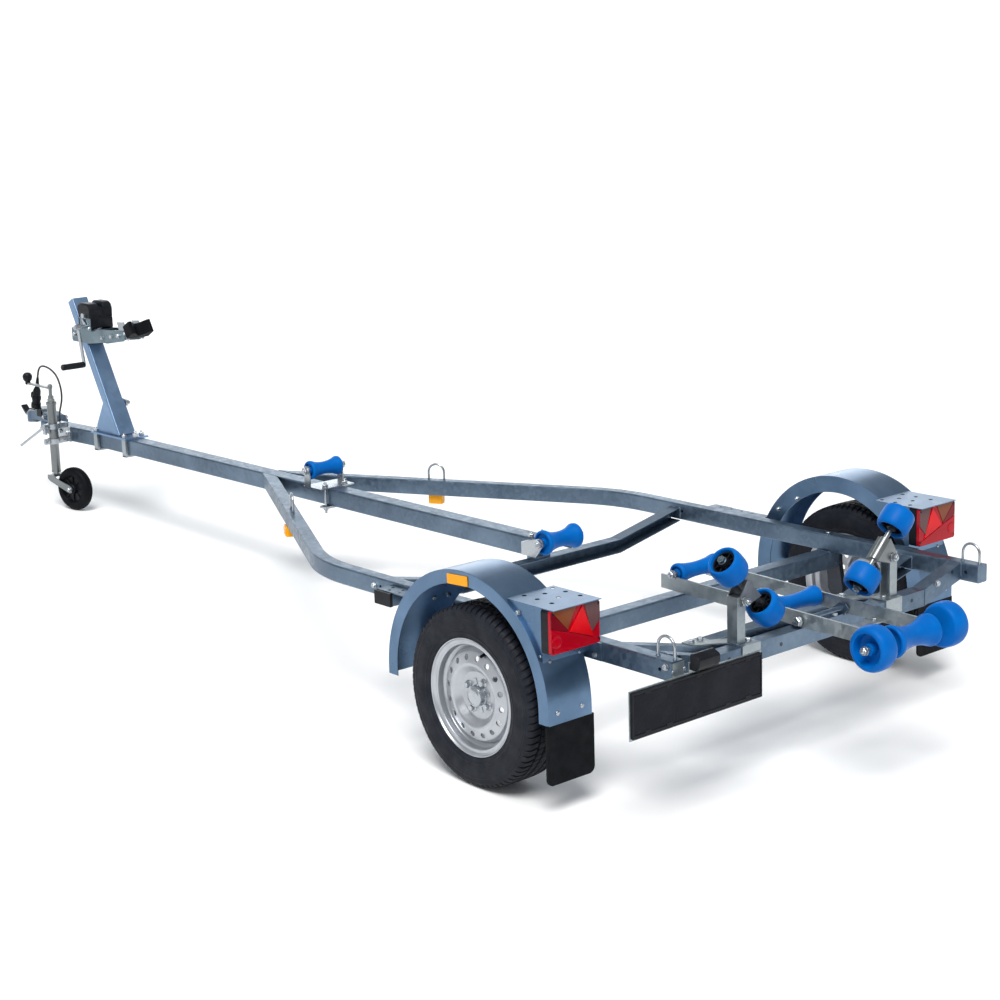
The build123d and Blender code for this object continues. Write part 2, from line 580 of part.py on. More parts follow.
PLATE = 4.0
with BuildPart() as winch_frame:
    # arm of two side plates that clasp the post and carry the bow stop, rising a little to the rear
    for plate_x in (-44.0, 40.0):
        with BuildSketch(SIDE.offset(plate_x)):
            with BuildLine():
                Polyline((-3828, 897), (-3828, 946), (-3820, 954), (-3720, 954), (-3382, 974), (-3368, 962),
                         (-3368, 934), (-3384, 926), (-3683, 889), (-3820, 889), close=True)
            make_face()
        extrude(amount=PLATE)
    # cross plates in front of the post and under the winch
    with Locations((0, -3816, 921)):
        Box(80, PLATE, 56)
    with Locations((0, -3600, 905)):
        Box(80, 150, PLATE)
    # the winch's own foot and cheeks
    with Locations((0, -3681, 952)):
        Box(112, 96, 5)
    for cheek_x in (-56.0, 53.0):
        with BuildSketch(SIDE.offset(cheek_x)):
            with BuildLine():
                Polyline((-3729, 950), (-3729, 1030), (-3712, 1046), (-3650, 1046), (-3633, 1030), (-3633, 950),
                         close=True)
            make_face()
        extrude(amount=3)
    # bearing holes for the drum shaft and the crank shaft
    with Locations(Location((0, DRUM_Y, DRUM_Z), (0, 90, 0)), Location((60, CRANK_Y, CRANK_Z), (0, 90, 0))):
        Cylinder(8.05, 120, mode=Mode.SUBTRACT)
nodes["winch_frame"] = winch_frame

with BuildPart() as winch_drum:
    # drum with its two flanges and shaft
    with BuildSketch(Plane(origin=(0, DRUM_Y, DRUM_Z), x_dir=(1, 0, 0), z_dir=(0, -1, 0))):
        with BuildLine():
            Polyline((-56.5, 0), (-56.5, 8), (-47, 8), (-47, 42), (-44, 42), (-44, 27), (44, 27), (44, 42), (47, 42),
                     (47, 8), (56.5, 8), (56.5, 0), close=True)
        make_face()
    revolve(axis=Axis((0, DRUM_Y, DRUM_Z), (1, 0, 0)))
nodes["winch_drum"] = winch_drum

ARM_X = 103.0
with BuildPart() as winch_crank:
    with BuildSketch(Plane(origin=(53, CRANK_Y, CRANK_Z), x_dir=(0, 1, 0), z_dir=(1, 0, 0))):
        Circle(8)
    extrude(amount=ARM_X - 53)
    arm_from, arm_to = Vector(ARM_X, CRANK_Y, CRANK_Z), Vector(ARM_X, CRANK_Y + 32, CRANK_Z - 166)
    with BuildSketch(Plane(origin=arm_from, x_dir=(1, 0, 0), z_dir=arm_to - arm_from)):
        Rectangle(7, 20)
    extrude(amount=(arm_to - arm_from).length)
    with Locations(Location(tuple(arm_from), (0, 90, 0))):
        Cylinder(14, 12)
    with Locations(Location(tuple(arm_to), (0, 90, 0))):
        Cylinder(11, 8)
    with BuildSketch(Plane(origin=(ARM_X + 2, arm_to.Y, arm_to.Z), x_dir=(0, 1, 0), z_dir=(1, 0, 0))):
        Circle(12.5)
    extrude(amount=108)
nodes["winch_crank"] = winch_crank

with BuildPart() as winch_cover:
    # black housing over the drum and gears, open below, cut away at the sides for the cheeks
    with BuildSketch(SIDE.offset(-60)):
        with BuildLine():
            l1 = Line((-3627, 962), (-3627, 1046))
            l2 = ThreePointArc((-3627, 1046), (-3636, 1068), (-3660, 1077))
            l3 = Line((-3660, 1077), (-3726, 1079))
            l4 = ThreePointArc((-3726, 1079), (-3738, 1074), (-3744, 1060))
            l5 = Polyline((-3744, 1060), (-3735, 1004), (-3735, 962), (-3627, 962))
        make_face()
    extrude(amount=120)
    with BuildSketch(SIDE.offset(-57)):
        with BuildLine():
            Polyline((-3630, 950), (-3630, 1045), (-3640, 1065), (-3662, 1074), (-3724, 1076), (-3740, 1060),
                     (-3732, 1003), (-3732, 950), close=True)
        make_face()
    extrude(amount=114, mode=Mode.SUBTRACT)
    for side in (1, -1):
        with Locations((side * 60, -3688, 980)):
            Box(12, 114, 48, mode=Mode.SUBTRACT)
nodes["winch_cover"] = winch_cover

BLOCK = Plane(origin=(0, BLOCK_Y, BLOCK_Z), x_dir=(1, 0, 0), z_dir=tuple(post_up))
with BuildPart() as bow_stop_bracket:
    for plate_x in (-40.0, 35.0):
        with BuildSketch(SIDE.offset(plate_x)):
            with BuildLine():
                Polyline((-3433, 1008), (-3380, 1012), (-3362, 990), (-3335, 942), (-3346, 933), (-3404, 940),
                         close=True)
            make_face()
        extrude(amount=5)
    with BuildSketch(BLOCK.offset(-27)):
        with Locations((0, -30.5)):
            Rectangle(96, 5)
    extrude(amount=54)
nodes["bow_stop_bracket"] = bow_stop_bracket

with BuildPart() as bow_stop_block:
    with BuildSketch(BLOCK.offset(-29)):
        with BuildLine():
            Polyline((-56, -28), (56, -28), (56, 30), (42, 30), (9, -3), (-9, -3), (-42, 30), (-56, 30), close=True)
        make_face()
        fillet(vertices(), 4)
    extrude(amount=58)
nodes["bow_stop_block"] = bow_stop_block

# ------------------------------------------------------------ keel rollers


def waisted(half, r_end, r_mid, bore, lip=12.0):
    """Half profile (x, radius) of a waisted roller about the X axis."""
    Polyline((-half, bore), (-half, r_end), (-half + lip, r_end))
    ThreePointArc((-half + lip, r_end), (0, r_mid), (half - lip, r_end))
    Polyline((half - lip, r_end), (half, r_end), (half, bore), (-half, bore))


PIN_R, PIN_FIT = 8.0, 0.05
# keel rollers on the drawbar: name, y, z, half length, end radius, waist radius
KEEL_ROLLERS = (
    ("keel_roller_front", -1990.0, 548.0, 73.0, 37.0, 25.0),
    ("keel_roller_rear", -622.0, 487.0, 80.0, 44.0, 28.0),
)
for name, ry, rz, half, r_end, r_mid in KEEL_ROLLERS:
    with BuildPart() as roller:
        with BuildSketch(Plane(origin=(0, ry, rz), x_dir=(1, 0, 0), z_dir=(0, -1, 0))):
            with BuildLine():
                waisted(half, r_end, r_mid, PIN_R + PIN_FIT)
            make_face()
        revolve(axis=Axis((0, ry, rz), (1, 0, 0)))
    nodes[name] = roller

with BuildPart() as keel_roller_brackets:
    for name, ry, rz, half, r_end, r_mid in KEEL_ROLLERS:
        # pin right through the roller
        with Locations(Location((0, ry, rz), (0, 90, 0))):
            Cylinder(PIN_R, 2 * half + 36)
        for side in (1, -1):
            with Locations(Location((side * (half + 14), ry, rz), (0, 90, 0))):
                Cylinder(12, 8)
    # front roller: two cheeks, a cross strap under the drawbar and its bolts
    _, ry, rz, half, r_end, r_mid = KEEL_ROLLERS[0]
    for side in (1, -1):
        with BuildSketch(SIDE.offset(side * (half + 5))):
            with BuildLine():
                Polyline((ry - 18, 482), (ry - 18, rz + 8), (ry - 8, rz + 18), (ry + 8, rz + 18), (ry + 18, rz + 8),
                         (ry + 18, 482), close=True)
            make_face()
        extrude(amount=side * 5)
    with Locations((0, ry + 31, 482.5)):
        Box(2 * (half + 10), 112, 5)
    for side in (1, -1):
        with Locations((side * 48, -1920, 434)):
            Cylinder(5, 104)
        with Locations((side * 48, -1920, 489)):
            Cylinder(9, 9)
    with Locations((0, -1920, 407)):
        Box(130, 40, 8)
    # rear roller: cheeks carried from the drawbar's rear end
    _, ry, rz, half, r_end, r_mid = KEEL_ROLLERS[1]
    for side in (1, -1):
        with BuildSketch(SIDE.offset(side * (half + 5))):
            with BuildLine():
                Polyline((-716, 432), (-716, 478), (ry - 6, rz + 16), (ry + 12, rz + 12), (ry + 16, rz - 6),
                         (ry - 30, 432), close=True)
            make_face()
        extrude(amount=side * 5)
    with Locations((0, -717.5, 455)):
        Box(2 * (half + 10), 5, 46)
nodes["keel_roller_brackets"] = keel_roller_brackets

# ------------------------------------------------------------ stern cradle
BAR_H = 46.0
FRONT_ROLL = (32.0, 500.0)
MID_ROLL = (452.0, 470.0)
STERN_ROLL = (890.0, 449.0)
with BuildPart() as cradle_frame:
    for side in (1, -1):
        with BuildSketch(SIDE.offset(side * CRADLE_X - CRADLE_T / 2)):
            with BuildLine():
                Polyline((-22, 494), (-22, 448), (470, 438), (560, 432), (620, 433), (905, 428), (918, 440),
                         (918, 462), (905, 473), (452, 483), close=True)
            make_face()
        extrude(amount=CRADLE_T)
    # cross pins: y, z, half length
    for pin_y, pin_z, pin_half in ((*FRONT_ROLL, 116.0), (*MID_ROLL, 116.0), (*STERN_ROLL, 216.0)):
        with Locations(Location((0, pin_y, pin_z), (0, 90, 0))):
            Cylinder(PIN_R, 2 * pin_half)
    for side in (1, -1):
        with Locations(Location((side * 120.5, STERN_ROLL[0], STERN_ROLL[1]), (0, 90, 0))):
            Cylinder(14, 23)
        with Locations(Location((side * 209, STERN_ROLL[0], STERN_ROLL[1]), (0, 90, 0))):
            Cylinder(12, 8)
    # flat cross straps between the bars
    with Locations((0, 700, 440)):
        Box(2 * CRADLE_X - CRADLE_T, 40, 6)
    with Locations((0, 250, 450)):
        Box(2 * CRADLE_X - CRADLE_T, 40, 6)
    # pivot bore
    with Locations(Location((0, CRADLE_Y, CRADLE_Z), (0, 90, 0))):
        Cylinder(8.05, 260, mode=Mode.SUBTRACT)
nodes["cradle_frame"] = cradle_frame

# rollers on the cradle: name, (y, z), half length, end radius, waist radius
CRADLE_ROLLERS = (
    ("cradle_roller_front", FRONT_ROLL, 94.0, 33.0, 24.0),
    ("cradle_roller_middle", MID_ROLL, 94.0, 33.0, 24.0),
    ("stern_keel_roller", STERN_ROLL, 94.0, 50.0, 33.0),
)
for name, (ry, rz), half, r_end, r_mid in CRADLE_ROLLERS:
    with BuildPart() as roller:
        with BuildSketch(Plane(origin=(0, ry, rz), x_dir=(1, 0, 0), z_dir=(0, -1, 0))):
            with BuildLine():
                waisted(half, r_end, r_mid, PIN_R + PIN_FIT)
            make_face()
        revolve(axis=Axis((0, ry, rz), (1, 0, 0)))
    nodes[name] = roller

for name, side in (("stern_wheel_left", 1), ("stern_wheel_right", -1)):
    with BuildPart() as stern:
        with BuildSketch(Plane(origin=(0, STERN_ROLL[0], STERN_ROLL[1]), x_dir=(1, 0, 0), z_dir=(0, -1, 0))):
            with BuildLine():
                Polyline((side * 136, PIN_R + PIN_FIT), (side * 136, 60), (side * 140, 68), (side * 190, 70),
                         (side * 200, 66), (side * 203, 58), (side * 203, 40), (side * 190, 36), (side * 190, 16),
                         (side * 198, 14), (side * 198, PIN_R + PIN_FIT), close=True)
            make_face()
        revolve(axis=Axis((0, STERN_ROLL[0], STERN_ROLL[1]), (1, 0, 0)))
    nodes[name] = stern

with BuildPart() as cradle_mount:
    # saddle on the rear cross member, with the cradle's pivot bolt
    for side in (1, -1):
        with BuildSketch(SIDE.offset(side * 90)):
            with BuildLine():
                Polyline((517, 428), (517, 440), (548, 466), (572, 466), (585, 452), (567, 428), close=True)
            make_face()
        extrude(amount=side * 5)
    with Locations((0, 542, 430.5)):
        Box(190, 50, 5)
    with Locations(Location((0, CRADLE_Y, CRADLE_Z), (0, 90, 0))):
        Cylinder(8, 246)
nodes["cradle_mount"] = cradle_mount

# ------------------------------------------------------------ wobble rollers
POST_X0, POST_X1, POST_Y0, POST_Y1, POST_TOP = 340.0, 375.0, 509.0, 549.0, 576.0
with BuildPart() as roller_posts:
    for side in (1, -1):
        # foot strap from the middle to the rear cross member, folded down behind it
        with BuildSketch(SIDE.offset(side * 296)):
            with BuildLine():
                Polyline((322, 390), (322, 394), (368, 394), (510, 432), (571, 432), (571, 382), (567, 382),
                         (567, 428), (511, 428), (369, 390), close=True)
            make_face()
        extrude(amount=side * 79)
        # upright channel, open towards the middle
        with Locations((side * (POST_X0 + POST_X1) / 2, (POST_Y0 + POST_Y1) / 2, (432 + POST_TOP) / 2)):
            Box(POST_X1 - POST_X0, POST_Y1 - POST_Y0, POST_TOP - 432)
        with Locations((side * ((POST_X0 + POST_X1) / 2 - 4), (POST_Y0 + POST_Y1) / 2, (432 + 540) / 2)):
            Box(POST_X1 - POST_X0, POST_Y1 - POST_Y0 - 8, 540 - 432, mode=Mode.SUBTRACT)
        # pivot pin with its nut
        with Locations(Location((side * PIVOT_X, SHAFT_Y, PIVOT_Z), (90, 0, 0))):
            Cylinder(7, 66)
        with Locations(Location((side * PIVOT_X, SHAFT_Y + 30, PIVOT_Z), (90, 0, 0)),
                       Location((side * PIVOT_X, SHAFT_Y - 30, PIVOT_Z), (90, 0, 0))):
            Cylinder(11, 8)
nodes["roller_posts"] = roller_posts

tilt = math.radians(SHAFT_TILT)
for name, side in (("left", 1), ("right", -1)):
    along = Vector(side * math.cos(tilt), 0, math.sin(tilt))
    middle = Vector(side * SHAFT_X, SHAFT_Y, SHAFT_Z)
    # rocker: one shaft for both rollers on two cheeks that straddle the post
    with BuildPart() as arm:
        with BuildSketch(Plane(origin=middle - along * 158, z_dir=along)):
            Circle(PIN_R)
        extrude(amount=316)
        with BuildSketch(Plane(origin=middle - along * 40, x_dir=(0, 1, 0), z_dir=along)):
            Circle(15)
            Rectangle(50, 12)
        extrude(amount=80)
        for cheek_y in (SHAFT_Y - 25.0, SHAFT_Y + 21.0):
            with BuildSketch(FRONT.offset(-cheek_y - 4)):
                with BuildLine():
                    Polyline((side * (SHAFT_X - 36), SHAFT_Z - 26), (side * (SHAFT_X + 26), SHAFT_Z + 34),
                             (side * (PIVOT_X + 18), PIVOT_Z + 16), (side * (PIVOT_X + 14), PIVOT_Z - 14),
                             (side * (PIVOT_X - 16), PIVOT_Z - 16), close=True)
                make_face()
            extrude(amount=4)
        with Locations(Location((side * PIVOT_X, SHAFT_Y, PIVOT_Z), (90, 0, 0))):
            Cylinder(7.05, 80, mode=Mode.SUBTRACT)
    nodes["wobble_arm_" + name] = arm
    for place, sign in (("outer", 1), ("inner", -1)):
        center = middle + along * (sign * WOBBLE_REACH)
        half = WOBBLE_W / 2
        # the hub is recessed at the roller's free end
        with BuildPart() as roller:
            with BuildSketch(Plane(origin=center, x_dir=along, z_dir=(0, -1, 0))):
                with BuildLine():
                    Polyline((-sign * half, PIN_R + PIN_FIT), (-sign * half, WOBBLE_R - 6), (-sign * (half - 6), WOBBLE_R - 1),
                             (0, WOBBLE_R), (sign * (half - 6), WOBBLE_R - 1), (sign * half, WOBBLE_R - 6),
                             (sign * half, WOBBLE_R - 16), (sign * (half - 26), WOBBLE_R - 22), (sign * (half - 26), 18),
                             (sign * (half - 4), 16), (sign * (half - 4), PIN_R + PIN_FIT), close=True)
                make_face()
            revolve(axis=Axis(center, along))
        nodes["wobble_roller_" + name + "_" + place] = roller

# ----------------------------------------------------- plug, holder and cable
plug_end = Vector(*CABLE[-1])
plug_up = (Vector(*CABLE[-2]) - plug_end).normalized()
PLUG_L = 130.0


def plug_plane(back):
    return Plane(origin=plug_end - plug_up * back, x_dir=(1, 0, 0), z_dir=plug_up)


with BuildPart() as plug_holder:
    # dummy socket on a bent strap from the coupling's side
    with BuildSketch(plug_plane(PLUG_L + 20)):
        Circle(23)
    extrude(amount=20)
    foot_z = plug_end.Z - plug_up.Z * 150 - plug_up.Y * 23
    with Locations((52, plug_end.Y - plug_up.Y * 158, foot_z - 1)):
        Box(42, 40, 5)
    with Locations((33.5, plug_end.Y - plug_up.Y * 158, (488 + foot_z + 1.5) / 2)):
        Box(5, 40, foot_z + 1.5 - 488)
nodes["plug_holder"] = plug_holder

with BuildPart() as plug:
    with BuildSketch(Plane(origin=plug_plane(PLUG_L).origin, x_dir=(1, 0, 0), z_dir=plug_plane(0).y_dir * -1)):
        with BuildLine():
            Polyline((0, 0), (20, 0), (20, 18), (22, 20), (22, 34), (19, 38), (18, 66), (14, 76), (9.5, 82), (6, PLUG_L),
                     (0, PLUG_L), close=True)
        make_face()
    revolve(axis=Axis(plug_plane(PLUG_L).origin, plug_up))
    with BuildSketch(plug_plane(PLUG_L - 26)):
        with Locations((0, -28)):
            RectangleRounded(26, 34, 8)
    extrude(amount=26)
nodes["plug"] = plug

with BuildPart() as cable_grommet:
    with Locations((CABLE[0][0], CABLE[0][1], 475.4)):
        Cylinder(10, 7)
nodes["cable_grommet"] = cable_grommet

route = [Vector(*p) for p in CABLE]
radii = []
for before, at, after in zip(route, route[1:], route[2:]):
    turn = (at - before).get_angle(after - at)
    shorter = min((at - before).length, (after - at).length)
    radii.append(0.45 * shorter / math.tan(math.radians(turn / 2)))
    print("cable corner", tuple(at), "turn", round(turn, 1), "radius", round(radii[-1], 1),
          "in diameters", round(radii[-1] / (2 * CABLE_R), 1))
with BuildPart() as plug_cable:
    with BuildLine() as cable_path:
        FilletPolyline(*route, radius=radii)
    with BuildSketch(Plane(origin=cable_path.line @ 0, z_dir=cable_path.line % 0)):
        Circle(CABLE_R)
    sweep()
nodes["plug_cable"] = plug_cable
cable_length = sum(edge.length for edge in cable_path.line.edges())
print("cable length", round(cable_length, 1), "volume / (section x length)",
      round(plug_cable.part.volume / (math.pi * CABLE_R ** 2 * cable_length), 4))

# ------------------------------------------------------------------ export
low, high = Vector(1e9, 1e9, 1e9), Vector(-1e9, -1e9, -1e9)
for name, piece in nodes.items():
    placed = piece.part.moved(STANCE)
    placed.label = name
    export_step(placed, f"parts/{name}.step")
    box = placed.bounding_box()
    if name not in ("plug", "plug_cable"):
        low = Vector(min(low.X, box.min.X), min(low.Y, box.min.Y), min(low.Z, box.min.Z))
        high = Vector(max(high.X, box.max.X), max(high.Y, box.max.Y), max(high.Z, box.max.Z))
print("nodes", len(nodes), "box", tuple(low), tuple(high))
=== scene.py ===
"""Boat trailer: materials, detail pieces, cable, floor, light and camera."""
import bpy
import bmesh
import json
import math
from mathutils import Matrix, Vector


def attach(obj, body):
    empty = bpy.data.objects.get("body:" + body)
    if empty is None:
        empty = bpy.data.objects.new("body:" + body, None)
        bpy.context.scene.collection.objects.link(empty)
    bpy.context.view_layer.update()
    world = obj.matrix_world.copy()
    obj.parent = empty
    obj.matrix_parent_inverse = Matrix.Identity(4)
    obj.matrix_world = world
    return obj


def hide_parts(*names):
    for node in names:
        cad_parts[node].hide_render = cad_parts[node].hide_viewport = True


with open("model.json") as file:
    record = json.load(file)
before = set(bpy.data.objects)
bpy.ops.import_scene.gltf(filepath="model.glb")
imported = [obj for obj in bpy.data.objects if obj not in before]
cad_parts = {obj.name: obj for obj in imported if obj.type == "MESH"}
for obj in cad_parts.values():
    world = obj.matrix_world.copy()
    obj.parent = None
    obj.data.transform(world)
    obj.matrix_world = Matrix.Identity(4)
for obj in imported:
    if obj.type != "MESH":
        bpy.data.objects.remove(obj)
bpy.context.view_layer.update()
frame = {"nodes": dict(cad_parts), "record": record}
nodes = frame["nodes"]

# ------------------------------------------------------------------ chassis frame (mm) to the model's frame (m)
PITCH, Y_SHIFT, WHEEL_Z = math.radians(1.45), 1737.91, 281.0
STANCE = (Matrix.Translation((0, Y_SHIFT / 1000, WHEEL_Z / 1000)) @ Matrix.Rotation(PITCH, 4, "X")
          @ Matrix.Translation((0, 0, -WHEEL_Z / 1000)) @ Matrix.Scale(0.001, 4))


def place(x, y, z):
    return STANCE @ Vector((x, y, z))


# ------------------------------------------------------------------ camera
yaw, dip, roll = 2.4266, 0.2218, 0.0292
back = Vector((math.sin(yaw) * math.cos(dip), -math.cos(yaw) * math.cos(dip), math.sin(dip)))
ahead = -back
right = ahead.cross(Vector((0, 0, 1))).normalized()
down = ahead.cross(right)
right, down = (math.cos(roll) * right + math.sin(roll) * down, -math.sin(roll) * right + math.cos(roll) * down)
turn = Matrix.Rotation(PITCH, 3, "X")
axes = [(turn @ v).normalized() for v in (right, -down, back)]
camera = bpy.data.objects.new("camera", bpy.data.cameras.new("camera"))
bpy.context.scene.collection.objects.link(camera)
camera.matrix_world = Matrix.Translation(place(4687.9, 4465.6, 2222.1)) @ Matrix(axes).transposed().to_4x4()
camera.data.sensor_width = 36.0
camera.data.lens = 2047.78 * 36.0 / 1000.0
camera.data.shift_x = 0.0010
camera.data.shift_y = -0.0085
camera.data.clip_start, camera.data.clip_end = 0.1, 300.0
bpy.context.scene.camera = camera


# ------------------------------------------------------------------ materials
def material(name, color, metallic=0.0, roughness=0.5, specular=0.5, coat=0.0, coat_roughness=0.1,
             transmission=0.0, sheen=0.0, ior=1.5):
    m = bpy.data.materials.new(name)
    m.use_nodes = True
    b = m.node_tree.nodes["Principled BSDF"]
    b.inputs["Base Color"].default_value = (*color, 1)
    b.inputs["Metallic"].default_value = metallic
    b.inputs["Roughness"].default_value = roughness
    b.inputs["Specular IOR Level"].default_value = specular
    b.inputs["Coat Weight"].default_value = coat
    b.inputs["Coat Roughness"].default_value = coat_roughness
    b.inputs["Transmission Weight"].default_value = transmission
    b.inputs["Sheen Weight"].default_value = sheen
    b.inputs["IOR"].default_value = ior
    m.diffuse_color = (*color, 1)
    return m


class Nodes:
    """Short names for the node calls that every material uses."""

    def __init__(self, m):
        self.t, self.n, self.l = m.node_tree, m.node_tree.nodes, m.node_tree.links
        self.b = self.n["Principled BSDF"]
        self.co = self.n.new("ShaderNodeTexCoord").outputs["Object"]

    def at(self, scale=(1, 1, 1), rotation=(0, 0, 0)):
        mp = self.n.new("ShaderNodeMapping")
        mp.inputs["Scale"].default_value = scale
        mp.inputs["Rotation"].default_value = rotation
        self.l.new(self.co, mp.inputs["Vector"])
        return mp.outputs["Vector"]

    def noise(self, scale, detail=4, rough=0.55, where=None, distortion=0.0):
        t = self.n.new("ShaderNodeTexNoise")
        t.inputs["Scale"].default_value = scale
        t.inputs["Detail"].default_value = detail
        t.inputs["Roughness"].default_value = rough
        t.inputs["Distortion"].default_value = distortion
        self.l.new(where or self.co, t.inputs["Vector"])
        return t.outputs["Fac"]

    def cells(self, scale, where=None, feature="F1", out="Color", randomness=1.0):
        t = self.n.new("ShaderNodeTexVoronoi")
        t.feature = feature
        t.inputs["Scale"].default_value = scale
        t.inputs["Randomness"].default_value = randomness
        self.l.new(where or self.co, t.inputs["Vector"])
        return t.outputs[out]

    def grey(self, color):
        g = self.n.new("ShaderNodeRGBToBW")
        self.l.new(color, g.inputs[0])
        return g.outputs[0]

    def ramp(self, fac, *stops):
        r = self.n.new("ShaderNodeValToRGB")
        while len(r.color_ramp.elements) < len(stops):
            r.color_ramp.elements.new(0.5)
        for e, (p, c) in zip(r.color_ramp.elements, stops):
            e.position = p
            e.color = (*c, 1) if not isinstance(c, (int, float)) else (c, c, c, 1)
        self.l.new(fac, r.inputs["Fac"])
        return r.outputs["Color"]

    def mix(self, fac, a, b, mode="MIX"):
        x = self.n.new("ShaderNodeMix")
        x.data_type, x.blend_type = "RGBA", mode
        for value, socket in ((fac, x.inputs[0]), (a, x.inputs[6]), (b, x.inputs[7])):
            if hasattr(value, "is_linked"):
                self.l.new(value, socket)
            elif isinstance(value, (int, float)):
                socket.default_value = value
            else:
                socket.default_value = (*value, 1)
        return x.outputs[2]

    def range(self, fac, low, high, to_low, to_high):
        r = self.n.new("ShaderNodeMapRange")
        for k, v in (("From Min", low), ("From Max", high), ("To Min", to_low), ("To Max", to_high)):
            r.inputs[k].default_value = v
        self.l.new(fac, r.inputs["Value"])
        return r.outputs["Result"]

    def color(self, c):
        self.l.new(c, self.b.inputs["Base Color"])

    def roughness(self, r):
        self.l.new(r, self.b.inputs["Roughness"])

    def bump(self, height, strength, distance=0.001):
        bm = self.n.new("ShaderNodeBump")
        bm.inputs["Strength"].default_value = strength
        bm.inputs["Distance"].default_value = distance
        self.l.new(height, bm.inputs["Height"])
        self.l.new(bm.outputs["Normal"], self.b.inputs["Normal"])


def galvanised(name, dark, mid, light, spangle=70.0, low=0.30, high=0.50, metallic=0.88, flake=0.30, grain=0.05):
    """Zinc: slow clouds, a little crystal pattern (flake) and faint vertical runs."""
    m = material(name, mid, metallic=metallic, roughness=0.4)
    k = Nodes(m)
    crystals = k.grey(k.cells(spangle, k.at((1, 1, 1), (0.3, 0.5, 0.2))))
    cloud = k.noise(4.0, 5, 0.55, distortion=0.4)
    runs = k.noise(9.0, 3, 0.5, k.at((1, 1, 0.18)))
    flecks = k.ramp(crystals, (0.15, dark), (0.5, mid), (0.88, light))
    clouds = k.ramp(cloud, (0.32, dark), (0.52, mid), (0.74, light))
    both = k.mix(flake, clouds, flecks)
    k.color(k.mix(k.range(runs, 0.55, 0.80, 0.0, 0.22), both, light))
    k.roughness(k.range(crystals, 0.1, 0.9, low, high))
    k.bump(k.noise(420.0, 3, 0.6), grain, 0.0005)
    return m


M = {}
M["galvanised_steel"] = galvanised("galvanised_steel", (0.075, 0.112, 0.160), (0.115, 0.165, 0.228), (0.20, 0.272, 0.355))
# fender zinc with a bluer tone: partly the zinc's own colour, partly painted sky-blue reflection
M["fender_steel"] = galvanised("fender_steel", (0.085, 0.148, 0.232), (0.12, 0.197, 0.31), (0.17, 0.268, 0.40), 26.0, 0.27, 0.31, 0.92, 0.06, 0.01)
M["post_steel"] = galvanised("post_steel", (0.14, 0.225, 0.36), (0.19, 0.295, 0.455), (0.26, 0.385, 0.57), 50.0, 0.28, 0.42, 0.88, 0.12, 0.02)
M["light_galvanised"] = galvanised("light_galvanised", (0.24, 0.28, 0.305), (0.33, 0.375, 0.395), (0.49, 0.53, 0.535), 60.0)
M["bright_zinc"] = galvanised("bright_zinc", (0.34, 0.37, 0.40), (0.42, 0.45, 0.48), (0.52, 0.55, 0.58), 60.0, 0.24, 0.32, 0.92, 0.08, 0.015)
M["blue_zinc"] = galvanised("blue_zinc", (0.11, 0.155, 0.185), (0.15, 0.205, 0.24), (0.22, 0.285, 0.325), 60.0, 0.26, 0.38, 0.9, 0.12, 0.02)
M["grey_zinc"] = galvanised("grey_zinc", (0.17, 0.185, 0.19), (0.225, 0.24, 0.245), (0.31, 0.33, 0.335), 60.0, 0.30, 0.40, 0.9, 0.08, 0.015)
# near-black zinc for the discs at the rear cross member's punched holes: their dark is painted shade
M["dark_steel"] = galvanised("dark_steel", (0.010, 0.014, 0.022), (0.018, 0.024, 0.034), (0.04, 0.05, 0.065), 50.0, 0.30, 0.42, 0.4, 0.12, 0.02)

m = M["wheel_silver"] = material("wheel_silver", (0.55, 0.57, 0.60), metallic=0.80, roughness=0.32, coat=0.35, coat_roughness=0.18)
k = Nodes(m)
k.color(k.mix(k.range(k.noise(14.0, 4), 0.35, 0.7, 0.0, 0.6), (0.40, 0.42, 0.45), (0.54, 0.56, 0.60)))
k.roughness(k.range(k.noise(60.0, 3), 0.3, 0.7, 0.28, 0.42))
k.bump(k.noise(700.0, 2), 0.06, 0.0004)

m = M["tyre_rubber"] = material("tyre_rubber", (0.010, 0.012, 0.018), roughness=0.55, specular=0.18)
k = Nodes(m)
dust = k.range(k.noise(18.0, 6, 0.65), 0.42, 0.72, 0.0, 1.0)
k.color(k.mix(dust, (0.0075, 0.0095, 0.015), (0.0165, 0.019, 0.026)))
k.roughness(k.range(k.noise(30.0, 4), 0.3, 0.7, 0.48, 0.72))
k.bump(k.noise(900.0, 3), 0.18, 0.0005)

m = M["black_rubber"] = material("black_rubber", (0.004, 0.005, 0.007), roughness=0.5, specular=0.08)
k = Nodes(m)
k.color(k.mix(k.range(k.noise(22.0, 5), 0.4, 0.7, 0.0, 1.0), (0.0025, 0.003, 0.0045), (0.0062, 0.007, 0.009)))
k.roughness(k.range(k.noise(45.0, 3), 0.3, 0.7, 0.42, 0.65))
k.bump(k.noise(1100.0, 2), 0.15, 0.0004)

m = M["black_plastic"] = material("black_plastic", (0.005, 0.006, 0.009), roughness=0.30, specular=0.18)
k = Nodes(m)
k.color(k.mix(k.range(k.noise(30.0, 4), 0.4, 0.7, 0.0, 1.0), (0.0035, 0.0045, 0.007), (0.0085, 0.010, 0.014)))
k.roughness(k.range(k.noise(80.0, 3), 0.3, 0.7, 0.30, 0.46))
k.bump(k.cells(1500.0, feature="F1", out="Distance"), 0.10, 0.0003)

m = M["blue_roller"] = material("blue_roller", (0.0, 0.115, 0.44), roughness=0.40, specular=0.08, coat=0.0, coat_roughness=0.3)
k = Nodes(m)
k.color(k.mix(k.range(k.noise(12.0, 5, 0.6), 0.35, 0.72, 0.0, 1.0), (0.0, 0.098, 0.385), (0.0, 0.130, 0.47)))
k.roughness(k.range(k.noise(55.0, 4), 0.3, 0.7, 0.30, 0.46))
k.bump(k.noise(650.0, 3), 0.10, 0.0004)

